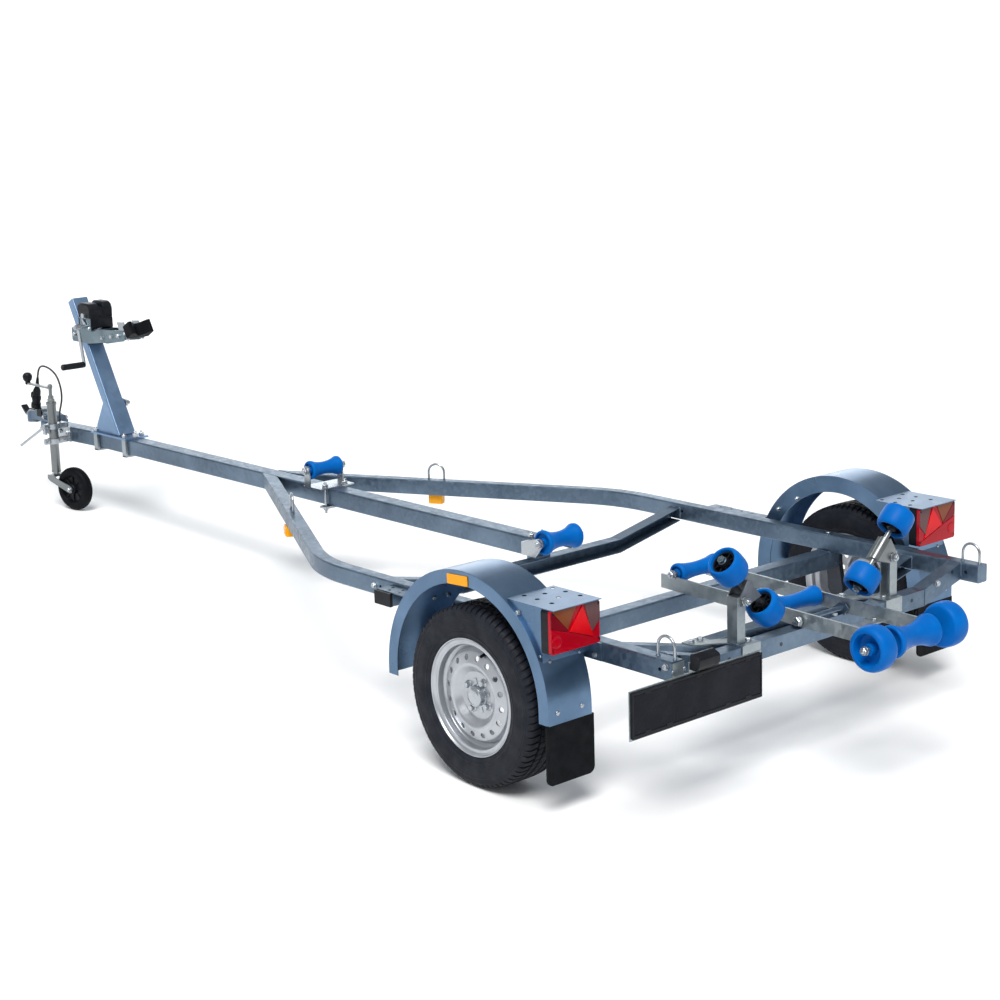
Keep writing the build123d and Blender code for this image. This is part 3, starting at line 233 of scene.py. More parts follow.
def lens(name, bright, dark, scale, bump, roughness=0.14):
    m = material(name, bright, roughness=roughness, specular=0.16, coat=0.10, coat_roughness=0.06)
    k = Nodes(m)
    flutes = k.cells(scale, out="Distance", randomness=0.0)
    k.color(k.mix(k.range(flutes, 0.2, 0.6, 0.0, 1.0), bright, dark))
    k.bump(flutes, bump, 0.0008)
    return m


M["lamp_red"] = lens("lamp_red", (0.50, 0.001, 0.014), (0.33, 0.0, 0.007), 260.0, 0.15)
M["lamp_dark_red"] = lens("lamp_dark_red", (0.20, 0.002, 0.010), (0.13, 0.001, 0.006), 200.0, 0.15)
M["lamp_reflector"] = lens("lamp_reflector", (0.80, 0.004, 0.012), (0.55, 0.002, 0.006), 420.0, 0.20, 0.10)
M["lamp_amber"] = lens("lamp_amber", (0.27, 0.075, 0.022), (0.17, 0.042, 0.014), 240.0, 0.18)
M["lamp_clear"] = lens("lamp_clear", (0.155, 0.075, 0.075), (0.085, 0.035, 0.038), 200.0, 0.20, 0.12)

m = M["amber_lens"] = material("amber_lens", (0.92, 0.42, 0.0), roughness=0.18, specular=0.2, coat=0.1, coat_roughness=0.06)
k = Nodes(m)
prisms = k.cells(380.0, out="Distance", randomness=0.0)
k.color(k.mix(k.range(prisms, 0.2, 0.6, 0.0, 1.0), (0.92, 0.42, 0.002), (0.80, 0.31, 0.0)))
k.bump(prisms, 0.25, 0.0006)

m = M["plate_field"] = material("plate_field", (0.004, 0.005, 0.009), roughness=0.20, specular=0.10, coat=0.0, coat_roughness=0.12)
k = Nodes(m)
k.color(k.mix(k.range(k.noise(14.0, 5), 0.4, 0.7, 0.0, 1.0), (0.004, 0.005, 0.009), (0.009, 0.011, 0.017)))
k.roughness(k.range(k.noise(26.0, 4), 0.3, 0.7, 0.16, 0.36))
k.bump(k.noise(160.0, 2), 0.05, 0.0005)

m = M["webbing"] = material("webbing", (0.03, 0.03, 0.034), roughness=0.85, specular=0.2, sheen=0.4)
k = Nodes(m)
weave = k.cells(900.0, out="Distance", randomness=0.1)
k.color(k.mix(k.range(weave, 0.1, 0.6, 0.0, 1.0), (0.045, 0.045, 0.05), (0.016, 0.016, 0.018)))
k.roughness(k.range(k.noise(90.0, 3), 0.3, 0.7, 0.75, 0.92))
k.bump(weave, 0.4, 0.0006)

# record slot of each CAD node, and where a node looks different from its slot
slot_of = {s["node"]: s["material_slot"] for s in frame["record"]["subparts"]}
LOOKS = {"fender_left": "fender_steel", "fender_right": "fender_steel", "plate_bracket": "light_galvanised",
         "cradle_frame": "light_galvanised", "roller_posts": "light_galvanised", "winch_post": "post_steel",
         "winch_frame": "blue_zinc", "coupling_handle": "bright_zinc", "coupling_head": "galvanised_steel",
         "wobble_arm_left": "grey_zinc", "wobble_arm_right": "grey_zinc", "jockey_tube": "grey_zinc",
         "jockey_fork": "grey_zinc"}
for name, piece in nodes.items():
    look = M[LOOKS.get(name, slot_of[name])]
    if not piece.material_slots:
        piece.data.materials.append(look)
    for s in piece.material_slots:
        s.material = look


# ------------------------------------------------------------------ mesh building, in chassis millimetres
def axes_at(origin, z, x=None):
    """Local frame: Z along z, X as near to x as it can be."""
    z = Vector(z).normalized()
    x = Vector(x) if x is not None else (Vector((1, 0, 0)) if abs(z.x) < 0.9 else Vector((0, 1, 0)))
    x = (x - z * x.dot(z)).normalized()
    y = z.cross(x)
    m4 = Matrix((x, y, z)).transposed().to_4x4()
    m4.translation = Vector(origin)
    return m4


class Piece:
    def __init__(self):
        self.bm = bmesh.new()
        self.mat = 0

    def _faces(self, verts, faces, m4=None):
        made = [self.bm.verts.new(m4 @ Vector(v) if m4 else Vector(v)) for v in verts]
        for f in faces:
            try:
                self.bm.faces.new([made[i] for i in f]).material_index = self.mat
            except ValueError:
                pass

    def lathe(self, profile, m4, n=48, closed=False, caps=True):
        """profile of (radius, height) turned about local Z."""
        p = len(profile)
        verts = [(r * math.cos(2 * math.pi * i / n), r * math.sin(2 * math.pi * i / n), h)
                 for i in range(n) for r, h in profile]
        faces = []
        for i in range(n):
            j = (i + 1) % n
            for a in range(p if closed else p - 1):
                b = (a + 1) % p
                faces.append((i * p + a, j * p + a, j * p + b, i * p + b))
        if caps and not closed:
            faces.append([i * p for i in range(n)][::-1])
            faces.append([i * p + p - 1 for i in range(n)])
        self._faces(verts, faces, m4)

    def prism(self, outline, depth, m4, c=0.0, bottom=True):
        """outline extruded along local Z, its long edges chamfered by c."""
        n = len(outline)
        o = [Vector((x, y)) for x, y in outline]
        area = sum(o[i].x * o[(i + 1) % n].y - o[(i + 1) % n].x * o[i].y for i in range(n))
        if area < 0:
            o.reverse()

        def inset(d):
            out = []
            for i in range(n):
                a, b, e = o[i - 1], o[i], o[(i + 1) % n]
                u, v = (b - a).normalized(), (e - b).normalized()
                nu, nv = Vector((-u.y, u.x)), Vector((-v.y, v.x))
                s = nu + nv
                out.append(b + s * (d / max(0.2, s.dot(nu))))
            return out
        rings = [(inset(c), 0.0), (o, c), (o, depth - c), (inset(c), depth)] if c else [(o, 0.0), (o, depth)]
        verts = [(p.x, p.y, h) for ring, h in rings for p in ring]
        faces = []
        for k_ in range(len(rings) - 1):
            for i in range(n):
                j = (i + 1) % n
                faces.append((k_ * n + i, k_ * n + j, (k_ + 1) * n + j, (k_ + 1) * n + i))
        if bottom:
            faces.append([i for i in range(n)][::-1])
        faces.append([(len(rings) - 1) * n + i for i in range(n)])
        self._faces(verts, faces, m4)

    def block(self, center, size, c=1.0, z=(0, 0, 1), x=None, corner=None):
        """Box with chamfered edges; size along local x, y, z."""
        m4 = axes_at(center, z, x) @ Matrix.Translation((0, 0, -size[2] / 2))
        self.prism(rounded(size[0], size[1], corner or max(c * 1.4, 0.6), 3), size[2], m4, c)

    def rod(self, points, r, n=16, closed=False, ends=True):
        """Round tube along points."""
        pts = [Vector(p) for p in points]
        count = len(pts)
        dirs = []
        for i in range(count):
            a = pts[i - 1] if i or closed else pts[0]
            b = pts[(i + 1) % count] if i < count - 1 or closed else pts[-1]
            dirs.append((b - a).normalized())
        side = dirs[0].orthogonal().normalized()
        verts, faces = [], []
        for i, (p, d) in enumerate(zip(pts, dirs)):
            side = (side - d * side.dot(d)).normalized()
            other = d.cross(side)
            verts += [p + r * (math.cos(2 * math.pi * k_ / n) * side + math.sin(2 * math.pi * k_ / n) * other)
                      for k_ in range(n)]
        for i in range(count if closed else count - 1):
            j = (i + 1) % count
            for k_ in range(n):
                l_ = (k_ + 1) % n
                faces.append((i * n + k_, i * n + l_, j * n + l_, j * n + k_))
        if ends and not closed:
            faces.append([k_ for k_ in range(n)][::-1])
            faces.append([(count - 1) * n + k_ for k_ in range(n)])
        self._faces(verts, faces)

    def washer(self, m4, r_in, r_out, t, n=28):
        c = min(0.4, t / 4)
        self.lathe([(r_in, 0), (r_out - c, 0), (r_out, c), (r_out, t - c), (r_out - c, t), (r_in, t)], m4, n, closed=True)

    def hexagon(self, m4, af, h, crown=0.6, turn_=0.0):
        """Hexagonal head or nut whose upper corners are rounded off."""
        r = af / 2 / math.cos(math.pi / 6)
        ring = [(r * math.cos(math.pi / 3 * i + turn_), r * math.sin(math.pi / 3 * i + turn_)) for i in range(6)]
        top = [(x * 0.90, y * 0.90) for x, y in ring]
        verts = [(x, y, 0) for x, y in ring] + [(x, y, h - crown) for x, y in ring] + [(x, y, h) for x, y in top]
        faces = [[5, 4, 3, 2, 1, 0], [12, 13, 14, 15, 16, 17]]
        for k_ in range(2):
            faces += [(k_ * 6 + i, k_ * 6 + (i + 1) % 6, (k_ + 1) * 6 + (i + 1) % 6, (k_ + 1) * 6 + i) for i in range(6)]
        self._faces(verts, faces, m4)

    def thread(self, m4, r, h, pitch=1.5, n=20):
        prof = [(r - 0.5, 0)]
        z = 0.0
        while z < h - pitch:
            prof += [(r, z + pitch * 0.35), (r, z + pitch * 0.5), (r - 0.55, z + pitch * 0.95)]
            z += pitch
        prof += [(r - 0.6, h - 0.4), (r - 1.4, h)]
        self.lathe(prof, m4, n)

    def nut(self, origin, z, m=10.0, washer=True, stub=6.0, turn_=0.2, x=None):
        """Hexagon nut on its bolt's end, on a washer."""
        m4 = axes_at(origin, z, x)
        t = 0.0
        if washer:
            t = max(1.2, m * 0.2)
            self.washer(m4, m * 0.5, m * 1.05, t)
        af, h = m * 1.65, m * 0.8
        self.hexagon(m4 @ Matrix.Translation((0, 0, t)), af, h, 0.1 * m, turn_)
        if stub:
            self.thread(m4 @ Matrix.Translation((0, 0, t + h - 1)), m / 2, stub + 1)

    def bolt(self, origin, z, m=10.0, washer=True, turn_=0.5, x=None):
        """Hexagon bolt head on a washer."""
        m4 = axes_at(origin, z, x)
        t = 0.0
        if washer:
            t = max(1.2, m * 0.2)
            self.washer(m4, m * 0.3, m * 1.05, t)
        self.hexagon(m4 @ Matrix.Translation((0, 0, t)), m * 1.65, m * 0.65, 0.12 * m, turn_)
        self.lathe([(0.01, 0), (m * 0.55, 0), (m * 0.5, 0.25)], m4 @ Matrix.Translation((0, 0, t + m * 0.65 - 0.1)), 20)

    def dome(self, origin, z, r, h, n=24):
        """Round-headed fastener."""
        prof = [(r, 0)] + [(r * math.cos(a), h * 0.25 + h * 0.75 * math.sin(a)) for a in
                           [math.pi / 2 * i / 6 for i in range(6)]] + [(0.02, h)]
        self.lathe(prof, axes_at(origin, z), n)

    def weld(self, points, r=3.0, ripple=5.0, n=10):
        """Bead of overlapping ripples along a line."""
        pts = [Vector(p) for p in points]
        path = []
        for a, b in zip(pts, pts[1:]):
            steps = max(2, int((b - a).length / (ripple / 4)))
            path += [a.lerp(b, i / steps) for i in range(steps)]
        path.append(pts[-1])
        verts, faces = [], []
        side = None
        total = len(path)
        for i, p in enumerate(path):
            d = (path[min(i + 1, total - 1)] - path[max(i - 1, 0)]).normalized()
            side = d.orthogonal().normalized() if side is None else (side - d * side.dot(d)).normalized()
            other = d.cross(side)
            rr = r * (0.86 + 0.14 * math.cos(2 * math.pi * (i / 4.0)))
            if i in (0, total - 1):
                rr *= 0.5
            verts += [p + rr * (math.cos(2 * math.pi * q / n) * side + math.sin(2 * math.pi * q / n) * other)
                      for q in range(n)]
        for i in range(total - 1):
            for q in range(n):
                faces.append((i * n + q, i * n + (q + 1) % n, (i + 1) * n + (q + 1) % n, (i + 1) * n + q))
        faces.append([q for q in range(n)][::-1])
        faces.append([(total - 1) * n + q for q in range(n)])
        self._faces(verts, faces)

    def finish(self, name, body, looks, replaces=(), angle=34.0, local=False):
        """Makes the object, in metres, riding on body."""
        bm = self.bm
        if not local:
            bm.transform(STANCE)
        bmesh.ops.recalc_face_normals(bm, faces=bm.faces)
        for f in bm.faces:
            f.smooth = True
        limit = math.radians(angle)
        for e in bm.edges:
            e.smooth = len(e.link_faces) == 2 and e.calc_face_angle(0.0) < limit
        mesh = bpy.data.meshes.new(name)
        bm.to_mesh(mesh)
        bm.free()
        for look in ([looks] if isinstance(looks, str) else looks):
            mesh.materials.append(M[look])
        o = bpy.data.objects.new(name, mesh)
        bpy.context.scene.collection.objects.link(o)
        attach(o, body)
        if replaces:
            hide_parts(*replaces)
        return o


def rounded(w, h, r, n=5):
    """Rounded rectangle about the origin."""
    r = min(r, w / 2 - 0.01, h / 2 - 0.01)
    out = []
    for cx, cy, a0 in ((w / 2 - r, h / 2 - r, 0), (-w / 2 + r, h / 2 - r, 90), (-w / 2 + r, -h / 2 + r, 180),
                       (w / 2 - r, -h / 2 + r, 270)):
        for i in range(n + 1):
            a = math.radians(a0 + 90 * i / n)
            out.append((cx + r * math.cos(a), cy + r * math.sin(a)))
    return out


def circle(r, n=24, x=0.0, y=0.0):
    return [(x + r * math.cos(2 * math.pi * i / n), y + r * math.sin(2 * math.pi * i / n)) for i in range(n)]


# ------------------------------------------------------------------ cable and plug
ROUTE = ((18, -4050, 480), (22, -4044, 518), (33, -4005, 560), (43, -3969, 603), (49, -3960, 655),
         (50, -3985, 706), (50, -4032, 732), (50, -4084, 743.5), (50, -4133, 742.2), (50, -4163.5, 718.8),
         (50, -4173.4, 681.7))
CABLE_R = 4.5
curve = bpy.data.curves.new("plug_cable_line", "CURVE")
curve.dimensions = "3D"
line = curve.splines.new("NURBS")
line.points.add(len(ROUTE) - 1)
for point, at in zip(line.points, ROUTE):
    point.co = (*place(*at), 1)
line.order_u = 3
line.use_endpoint_u = True
line.resolution_u = 24
curve.bevel_depth = CABLE_R / 1000
curve.bevel_resolution = 6
curve.use_fill_caps = True
cable = bpy.data.objects.new("plug_cable_line", curve)
bpy.context.scene.collection.objects.link(cable)
m = M["cable_jacket"] = material("cable_jacket", (0.02, 0.02, 0.022), roughness=0.42, specular=0.5)
k = Nodes(m)
k.color(k.mix(k.range(k.noise(40.0, 4), 0.4, 0.7, 0.0, 1.0), (0.014, 0.014, 0.016), (0.035, 0.035, 0.038)))
k.roughness(k.range(k.noise(120.0, 3), 0.3, 0.7, 0.34, 0.52))
k.bump(k.noise(900.0, 2), 0.1, 0.0003)
curve.materials.append(m)
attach(cable, "root")
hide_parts("plug_cable")

end, before = Vector(ROUTE[-1]), Vector(ROUTE[-2])
up = (before - end).normalized()
PLUG = axes_at(end - up * 130, up, (1, 0, 0))
p = Piece()
# seven-pin plug: nose, knurled body, shoulder and ribbed boot
p.lathe([(0.01, 0.5), (19, 0.5), (20, 1.5), (20, 17.5)], PLUG, 48)
p.lathe([(20.2, 17), (21.4, 18), (21.9, 20), (21.9, 33.5), (20.8, 35.8), (19.2, 38), (18.3, 40), (18, 64),
         (17.2, 67), (14.6, 74), (12, 79), (10.2, 82)], PLUG, 48)
for i in range(24):
    a = 2 * math.pi * i / 24
    p.block(PLUG @ Vector((17.9 * math.cos(a), 17.9 * math.sin(a), 52)), (1.2, 1.6, 20), 0.3, up,
            PLUG.to_3x3() @ Vector((math.cos(a), math.sin(a), 0)))
boot = [(10.3, 80)]
for i in range(7):
    z0 = 82 + i * 6.2
    r0 = 9.9 - i * 0.5
    boot += [(r0, z0), (r0, z0 + 3.6), (r0 - 1.3, z0 + 4.1), (r0 - 1.3, z0 + 5.6)]
boot += [(6.0, 126), (5.6, 129.6), (5.0, 130)]
p.lathe(boot, PLUG, 36)
# hinged lid of the parking socket, behind the plug
p.prism(rounded(26, 32, 8), 5, axes_at(PLUG @ Vector((0, -27, 104 - 72)), PLUG.to_3x3() @ Vector((0, -1, 0)), (1, 0, 0)), 1.0)
p.finish("plug_detail", "root", "black_plastic", ["plug"])

p = Piece()
p.lathe([(4.9, 0), (10, 0), (10, 1.6), (7.4, 2.2), (6.4, 3.2), (5.4, 6.6), (4.9, 6.8)], axes_at((18, -4050, 471.9), (0, 0, 1)), 28,
        closed=True)
p.finish("cable_gland", "root", "black_rubber", ["cable_grommet"])

dg = bpy.context.evaluated_depsgraph_get()
probe = curve.copy()
probe.bevel_depth = 0
probe_object = bpy.data.objects.new("probe", probe)
bpy.context.scene.collection.objects.link(probe_object)
measured = bpy.data.meshes.new_from_object(probe_object.evaluated_get(bpy.context.evaluated_depsgraph_get()))
CABLE_LENGTH = sum((measured.vertices[e.vertices[0]].co - measured.vertices[e.vertices[1]].co).length for e in measured.edges)
bpy.data.objects.remove(probe_object)
bpy.data.curves.remove(probe)
bpy.data.meshes.remove(measured)
print("cable line", round(CABLE_LENGTH, 4))

# ------------------------------------------------------------------ helpers for faces seen along an axis
def facing_y(y, side=1):
    """Local x = +X, local y = +Z, depth towards -Y from y."""
    return axes_at((0, y, 0), (0, -1, 0), (1, 0, 0))


def flip(outline, side):
    return [(side * x, z) for x, z in outline]


def curve_at(table, x):
    for (x0, y0), (x1, y1) in zip(table, table[1:]):
        if x0 <= x <= x1:
            return y0 + (y1 - y0) * (x - x0) / (x1 - x0)
    return table[-1][1]


# ------------------------------------------------------------------ tyres with tread
TRACK = 872.0
CROWN = [(0, 281), (30, 280.8), (55, 280), (65, 278.9), (70, 277.3), (74.5, 274.2), (78, 270.2), (80.5, 265.5)]
COLUMNS = [0.0, 0.06, 0.30, 0.36, 0.56, 0.60, 0.68, 0.72, 0.86]


def tyre(side, name):
    p = Piece()
    m4 = axes_at((side * TRACK, 0, 281), (side, 0, 0), (0, 1, 0))
    half = [0, 5.5, 11.2, 12.2, 17.8, 18.8, 28, 37.2, 38.2, 44.8, 45.8, 52, 60, 66, 70, 74.5, 78, 80.5]
    hs = [-h for h in reversed(half[1:])] + half
    verts, rows = [], len(hs)
    pitches = 76
    for i in range(pitches):
        for j, t in enumerate(COLUMNS):
            for h in hs:
                a = abs(h)
                r = curve_at(CROWN, a)
                if 12 <= a <= 18 or 38 <= a <= 45:
                    r -= 6.8
                elif a >= 45.8 and j in (1, 2):
                    r -= 5.6 if a < 76 else 2.6
                elif 18.8 <= a <= 37.2 and j in (5, 6):
                    r -= 4.2
                elif a < 11.5 and j in (5, 6) and h > 0:
                    r -= 3.0
                th = 2 * math.pi * (i + t) / pitches + 0.0011 * a * (1 if h > 0 else -1) * -1
                verts.append((r * math.cos(th), r * math.sin(th), h))
    faces = []
    total = pitches * len(COLUMNS)
    for i in range(total):
        k_ = (i + 1) % total
        for j in range(rows - 1):
            faces.append((i * rows + j, k_ * rows + j, k_ * rows + j + 1, i * rows + j + 1))
    p._faces(verts, faces, m4)
    side_profile = [(265.5, 80.5), (263, 81.6), (258, 82.4), (257.4, 82.0), (256.2, 82.0), (255.6, 82.8), (250, 83.6), (247, 84.0),
                    (246.4, 84.5), (245.0, 84.5), (244.4, 84.1), (238, 84.5), (230, 84.8), (222, 84.9), (214, 84.4),
                    (206, 83.2), (204.5, 82.9), (203.8, 83.5), (200.6, 83.5), (199.6, 82.3), (195, 80.6), (192.6, 79.8),
                    (189.4, 79.9), (187.2, 79.0), (184.6, 76.6), (183.0, 74.0), (181, 69.5), (175, 65.8), (166, 65.4)]
    p.lathe(side_profile, m4, 144, caps=False)
    p.lathe([(r, -h) for r, h in reversed(side_profile)], m4, 144, caps=False)
    # small ribs round the outer sidewall
    for i in range(144):
        th = 2 * math.pi * i / 144
        for face in (1, -1):
            p.rod([m4 @ Vector((r * math.cos(th), r * math.sin(th), face * h)) for r, h in ((208.5, 83.55), (213.5, 84.25))], 0.55, 4)
    p.finish(name + "_tread", "wheel_" + name[5:], "tyre_rubber", [name])


for side, name in ((1, "tyre_left"), (-1, "tyre_right")):
    tyre(side, name)
    # wheel bolts, dust cap, hub ring, valve
    p = Piece()
    for a in (60, 150, 240, 330):
        a = math.radians(a)
        at = (side * 915, 50 * math.cos(a) * side, 281 + 50 * math.sin(a))
        m4 = axes_at(at, (side, 0, 0), (0, 0, 1))
        p.lathe([(13.5, 0), (13.5, 1.0), (11.0, 3.4), (10.2, 4.2), (9.4, 4.4)], m4, 32)
        p.hexagon(m4 @ Matrix.Translation((0, 0, 4.2)), 17, 10, 1.6, a)
        p.lathe([(0.01, 13.9), (5.4, 13.9), (5.9, 14.2), (6.2, 14.3), (6.4, 14.0)], m4, 24)
    p.finish("wheel_bolts_" + name[5:], "wheel_" + name[5:], "bright_zinc")
    p = Piece()
    m4 = axes_at((side * 872, 0, 281), (side, 0, 0), (0, 0, 1))
    p.lathe([(36.5, 43.0), (36.5, 44.6), (35.4, 45.2), (33.4, 45.4), (32.6, 47.0), (32.3, 60.0), (31.4, 62.2), (29.0, 63.4),
             (26.0, 63.8), (25.0, 64.6), (20.0, 66.2), (12, 67.2), (0.01, 67.5)], m4, 64)
    for i in range(4):
        a = math.radians(15 + 90 * i)
        at = m4 @ Vector((43.5 * math.cos(a), 43.5 * math.sin(a), 44))
        p.block(at, (20, 13, 2.4), 0.8, (side, 0, 0), m4.to_3x3() @ Vector((math.cos(a), math.sin(a), 0)))
    p.finish("hub_cap_" + name[5:], "wheel_" + name[5:], "bright_zinc")
    p = Piece()
    a = math.radians(73)
    foot = Vector((side * 908, 150 * math.cos(a), 281 + 150 * math.sin(a)))
    tip = Vector((side * 938, 139 * math.cos(a), 281 + 139 * math.sin(a)))
    m4 = axes_at(foot, tip - foot)
    p.lathe([(0.01, 0), (7.5, 0), (7.5, 2), (5.6, 4), (5.2, 14), (4.4, 20), (4.2, 22), (4.6, 22.6), (4.6, 31), (4.0, 32), (0.01, 32)], m4, 24)
    p.finish("valve_" + name[5:], "wheel_" + name[5:], "black_rubber")

# ------------------------------------------------------------------ tail lamps
for side, name in ((1, "tail_lamp_left"), (-1, "tail_lamp_right")):
    p = Piece()
    cx, cz = 842, 548.5
    p.prism([(side * (x + cx), z + cz) for x, z in rounded(194, 130, 8)], 30, facing_y(341), 1.2)
    p.mat = 1
    # lens body behind the coloured fields
    p.prism([(side * (x + cx), z + cz) for x, z in rounded(193, 129, 8)], 11, facing_y(352), 0.8)
    out, inn = 938.5, 745.5

    def field(outline, mat, y=354.4, deep=4.0):
        p.mat = mat
        p.prism(flip(outline, side), deep, facing_y(y), 0.7)

    field([(938.4, 607), (934.5, 611.4), (873.4, 547.2), (874, 542.4), (938.4, 563)], 5)
    field([(932, 612), (839, 612), (873.2, 549)], 3)
    field([(807, 612), (752, 612), (746, 606), (746, 556), (779, 521)], 4)
    field([(938.4, 561), (874, 540.4), (745.8, 496), (745.8, 491), (751, 485), (932.5, 485), (938.4, 491)], 1, 354.8)
    field([(815, 610), (866.6, 540.6), (772, 508.4)], 2, 355.2, 5.0)
    # round stop lamp dome and the screw heads at the four corners
    p.mat = 1
    m4 = axes_at((side * 918, 354.6, 521), (0, 1, 0))
    p.lathe([(19, 0), (19, 1.0), (16.5, 1.7), (15.8, 1.2), (12, 1.6), (6, 1.75), (0.01, 1.8)], m4, 40)
    p.mat = 0
    for x, z in ((931, 603), (933, 497), (752, 603), (751.5, 497)):
        m4 = axes_at((side * x, 352.5, z), (0, 1, 0))
        p.lathe([(4.6, 0), (4.6, 1.6), (3.6, 2.3), (0.8, 2.3), (0.6, 1.3), (0.01, 1.3)], m4, 20)
    p.finish(name + "_lens", "root", ["black_plastic", "lamp_red", "lamp_reflector", "lamp_amber", "lamp_clear", "lamp_dark_red"], [name])

# ------------------------------------------------------------------ fender reflectors, bolts and rolled edges
for side, tag in ((1, "left"), (-1, "right")):
    p = Piece()
    tilt_ = math.radians(3.2)
    p.prism(rounded(92, 31, 3), 4.2, axes_at((side * 945, -43.5, 636.4), (side, 0, 0), (0, math.cos(tilt_), math.sin(tilt_))), 0.9)
    p.finish("fender_reflector_" + tag, "root", "amber_lens")
    p = Piece()
    for x, z in ((906, 452), (787, 455)):
        drop = z - 299
        reach = math.sqrt(368.0 ** 2 - drop ** 2)
        p.dome((side * x, -25 + reach, z), (0, reach, drop), 6.2, 3.4)
    for x, z in ((910, 304.5), (814, 304.4)):
        p.dome((side * x, 343, z), (0, 1, 0), 7.5, 4.0)
    # arch bolts: inside of the sheet and on the inner lip
    p.dome((side * 802, -25 - 365.3 * 0.840, 299 + 365.3 * 0.542), (0, 0.84, -0.542), 8.5, 5)
    p.dome((side * 842, -25 - 365.3 * 0.70, 299 + 365.3 * 0.714), (0, 0.70, -0.714), 8.5, 5)
    for y, z in ((-292, 511), (-205, 562)):
        p.bolt((side * 777.4, y, z), (side, 0, 0), 8, True)
        p.nut((side * 775, y, z), (-side, 0, 0), 8, True, 5)
    # step box side: lamp bracket boss, and plate screws
    p.bolt((side * 934, 211, 583), (side, 0, 0), 9, True)
    p.dome((side * 934, 300, 470), (side, 0, 0), 5, 3)
    # outrigger bracket bolts
    for y, z in ((-430, 450), (-335, 450)):
        p.bolt((side * 742, y, z), (side, 0, 0), 10, True)
    p.bolt((side * 746, 330, 440), (side, 0, 0), 8, True)
    p.finish("fender_bolts_" + tag, "root", "bright_zinc")
    # rolled bead along the arch's outer edge
    p = Piece()
    line_ = [(side * 944.2, -25 - 366.6, z) for z in (273, 286, 299)]
    line_ += [(side * 944.2, -25 - 366.6 * math.cos(a), 299 + 366.6 * math.sin(a)) for a in [math.pi * i / 60 for i in range(1, 60)]]
    line_ += [(side * 944.2, -25 + 366.6, z) for z in (299, 286, 276)]
    p.rod(line_, 1.5, 10)
    p.finish("fender_edge_" + tag, "root", "fender_steel")
    # bolts of the torsion unit
    p = Piece()
    for y, z in ((-31, 387), (-50, 345)):
        p.bolt((side * 758, y, z), (side, 0, 0), 11, True)
    p.finish("arm_bolts_" + tag, "root", "bright_zinc")


# ------------------------------------------------------------------ rollers
def spool(name, node, body, y, z, half, r_end, r_mid):
    p = Piece()
    long_, drop = half - 12, r_end - r_mid
    big = (long_ * long_ + drop * drop) / (2 * drop)
    right_half = []
    for i in range(0, 15):
        x = long_ * i / 14
        r = r_mid + big - math.sqrt(big * big - x * x)
        right_half.append((r, x))
    right_half += [(r_end, half - 7), (r_end - 0.8, half - 3.5), (r_end - 3, half - 1), (r_end - 6, half - 0.1),
                   (r_end - 9, half - 0.8), (r_end - 10.5, half - 4), (r_end - 11, half - 8), (16.5, half - 9), (15.2, half - 6),
                   (14.8, half - 1), (13.6, half - 0.2), (8.3, half - 0.1)]
    prof = [(r, -x) for r, x in reversed(right_half[1:])] + right_half
    p.lathe(prof, axes_at((0, y, z), (1, 0, 0)), 72, closed=True)
    # moulding seam either side of the waist
    for x in (-long_ * 0.93, long_ * 0.93):
        r = r_mid + big - math.sqrt(big * big - x * x)
        p.lathe([(r - 1.5, x - 1.1), (r + 0.35, x - 0.6), (r + 0.35, x + 0.6), (r - 1.5, x + 1.1)], axes_at((0, y, z), (1, 0, 0)), 72,
                closed=True)
    p.finish(name, body, "blue_roller", [node])


spool("keel_roller_front_body", "keel_roller_front", "keel_roller_front", -1990, 548, 73, 37, 25)
spool("keel_roller_rear_body", "keel_roller_rear", "keel_roller_rear", -622, 487, 80, 44, 28)
spool("cradle_roller_front_body", "cradle_roller_front", "cradle_roller_front", 32, 500, 94, 33, 24)
spool("cradle_roller_middle_body", "cradle_roller_middle", "cradle_roller_middle", 452, 470, 94, 33, 24)
spool("stern_keel_roller_body", "stern_keel_roller", "stern_keel_roller", 890, 449, 94, 50, 33)

for side, node in ((1, "stern_wheel_left"), (-1, "stern_wheel_right")):
    p = Piece()
    p.lathe([(8.3, 136.1), (14, 136.1), (56, 136.2), (61, 137.5), (65, 141), (67.4, 147), (69.2, 157), (69.8, 168), (69.6, 180),
             (68.4, 189), (65.6, 196), (61.4, 200.6), (56, 202.8), (52, 202.4), (49.4, 200.6), (47.8, 196), (46.2, 178), (44.6, 173),
             (41, 170.4), (24, 169.6), (20.4, 170.6), (19, 174), (18, 191), (16.4, 193.6), (8.3, 193.8)],
            axes_at((0, 890, 449), (side, 0, 0), (0, 0, 1)), 88, closed=True)
    p.finish(node + "_body", node, "blue_roller", [node])

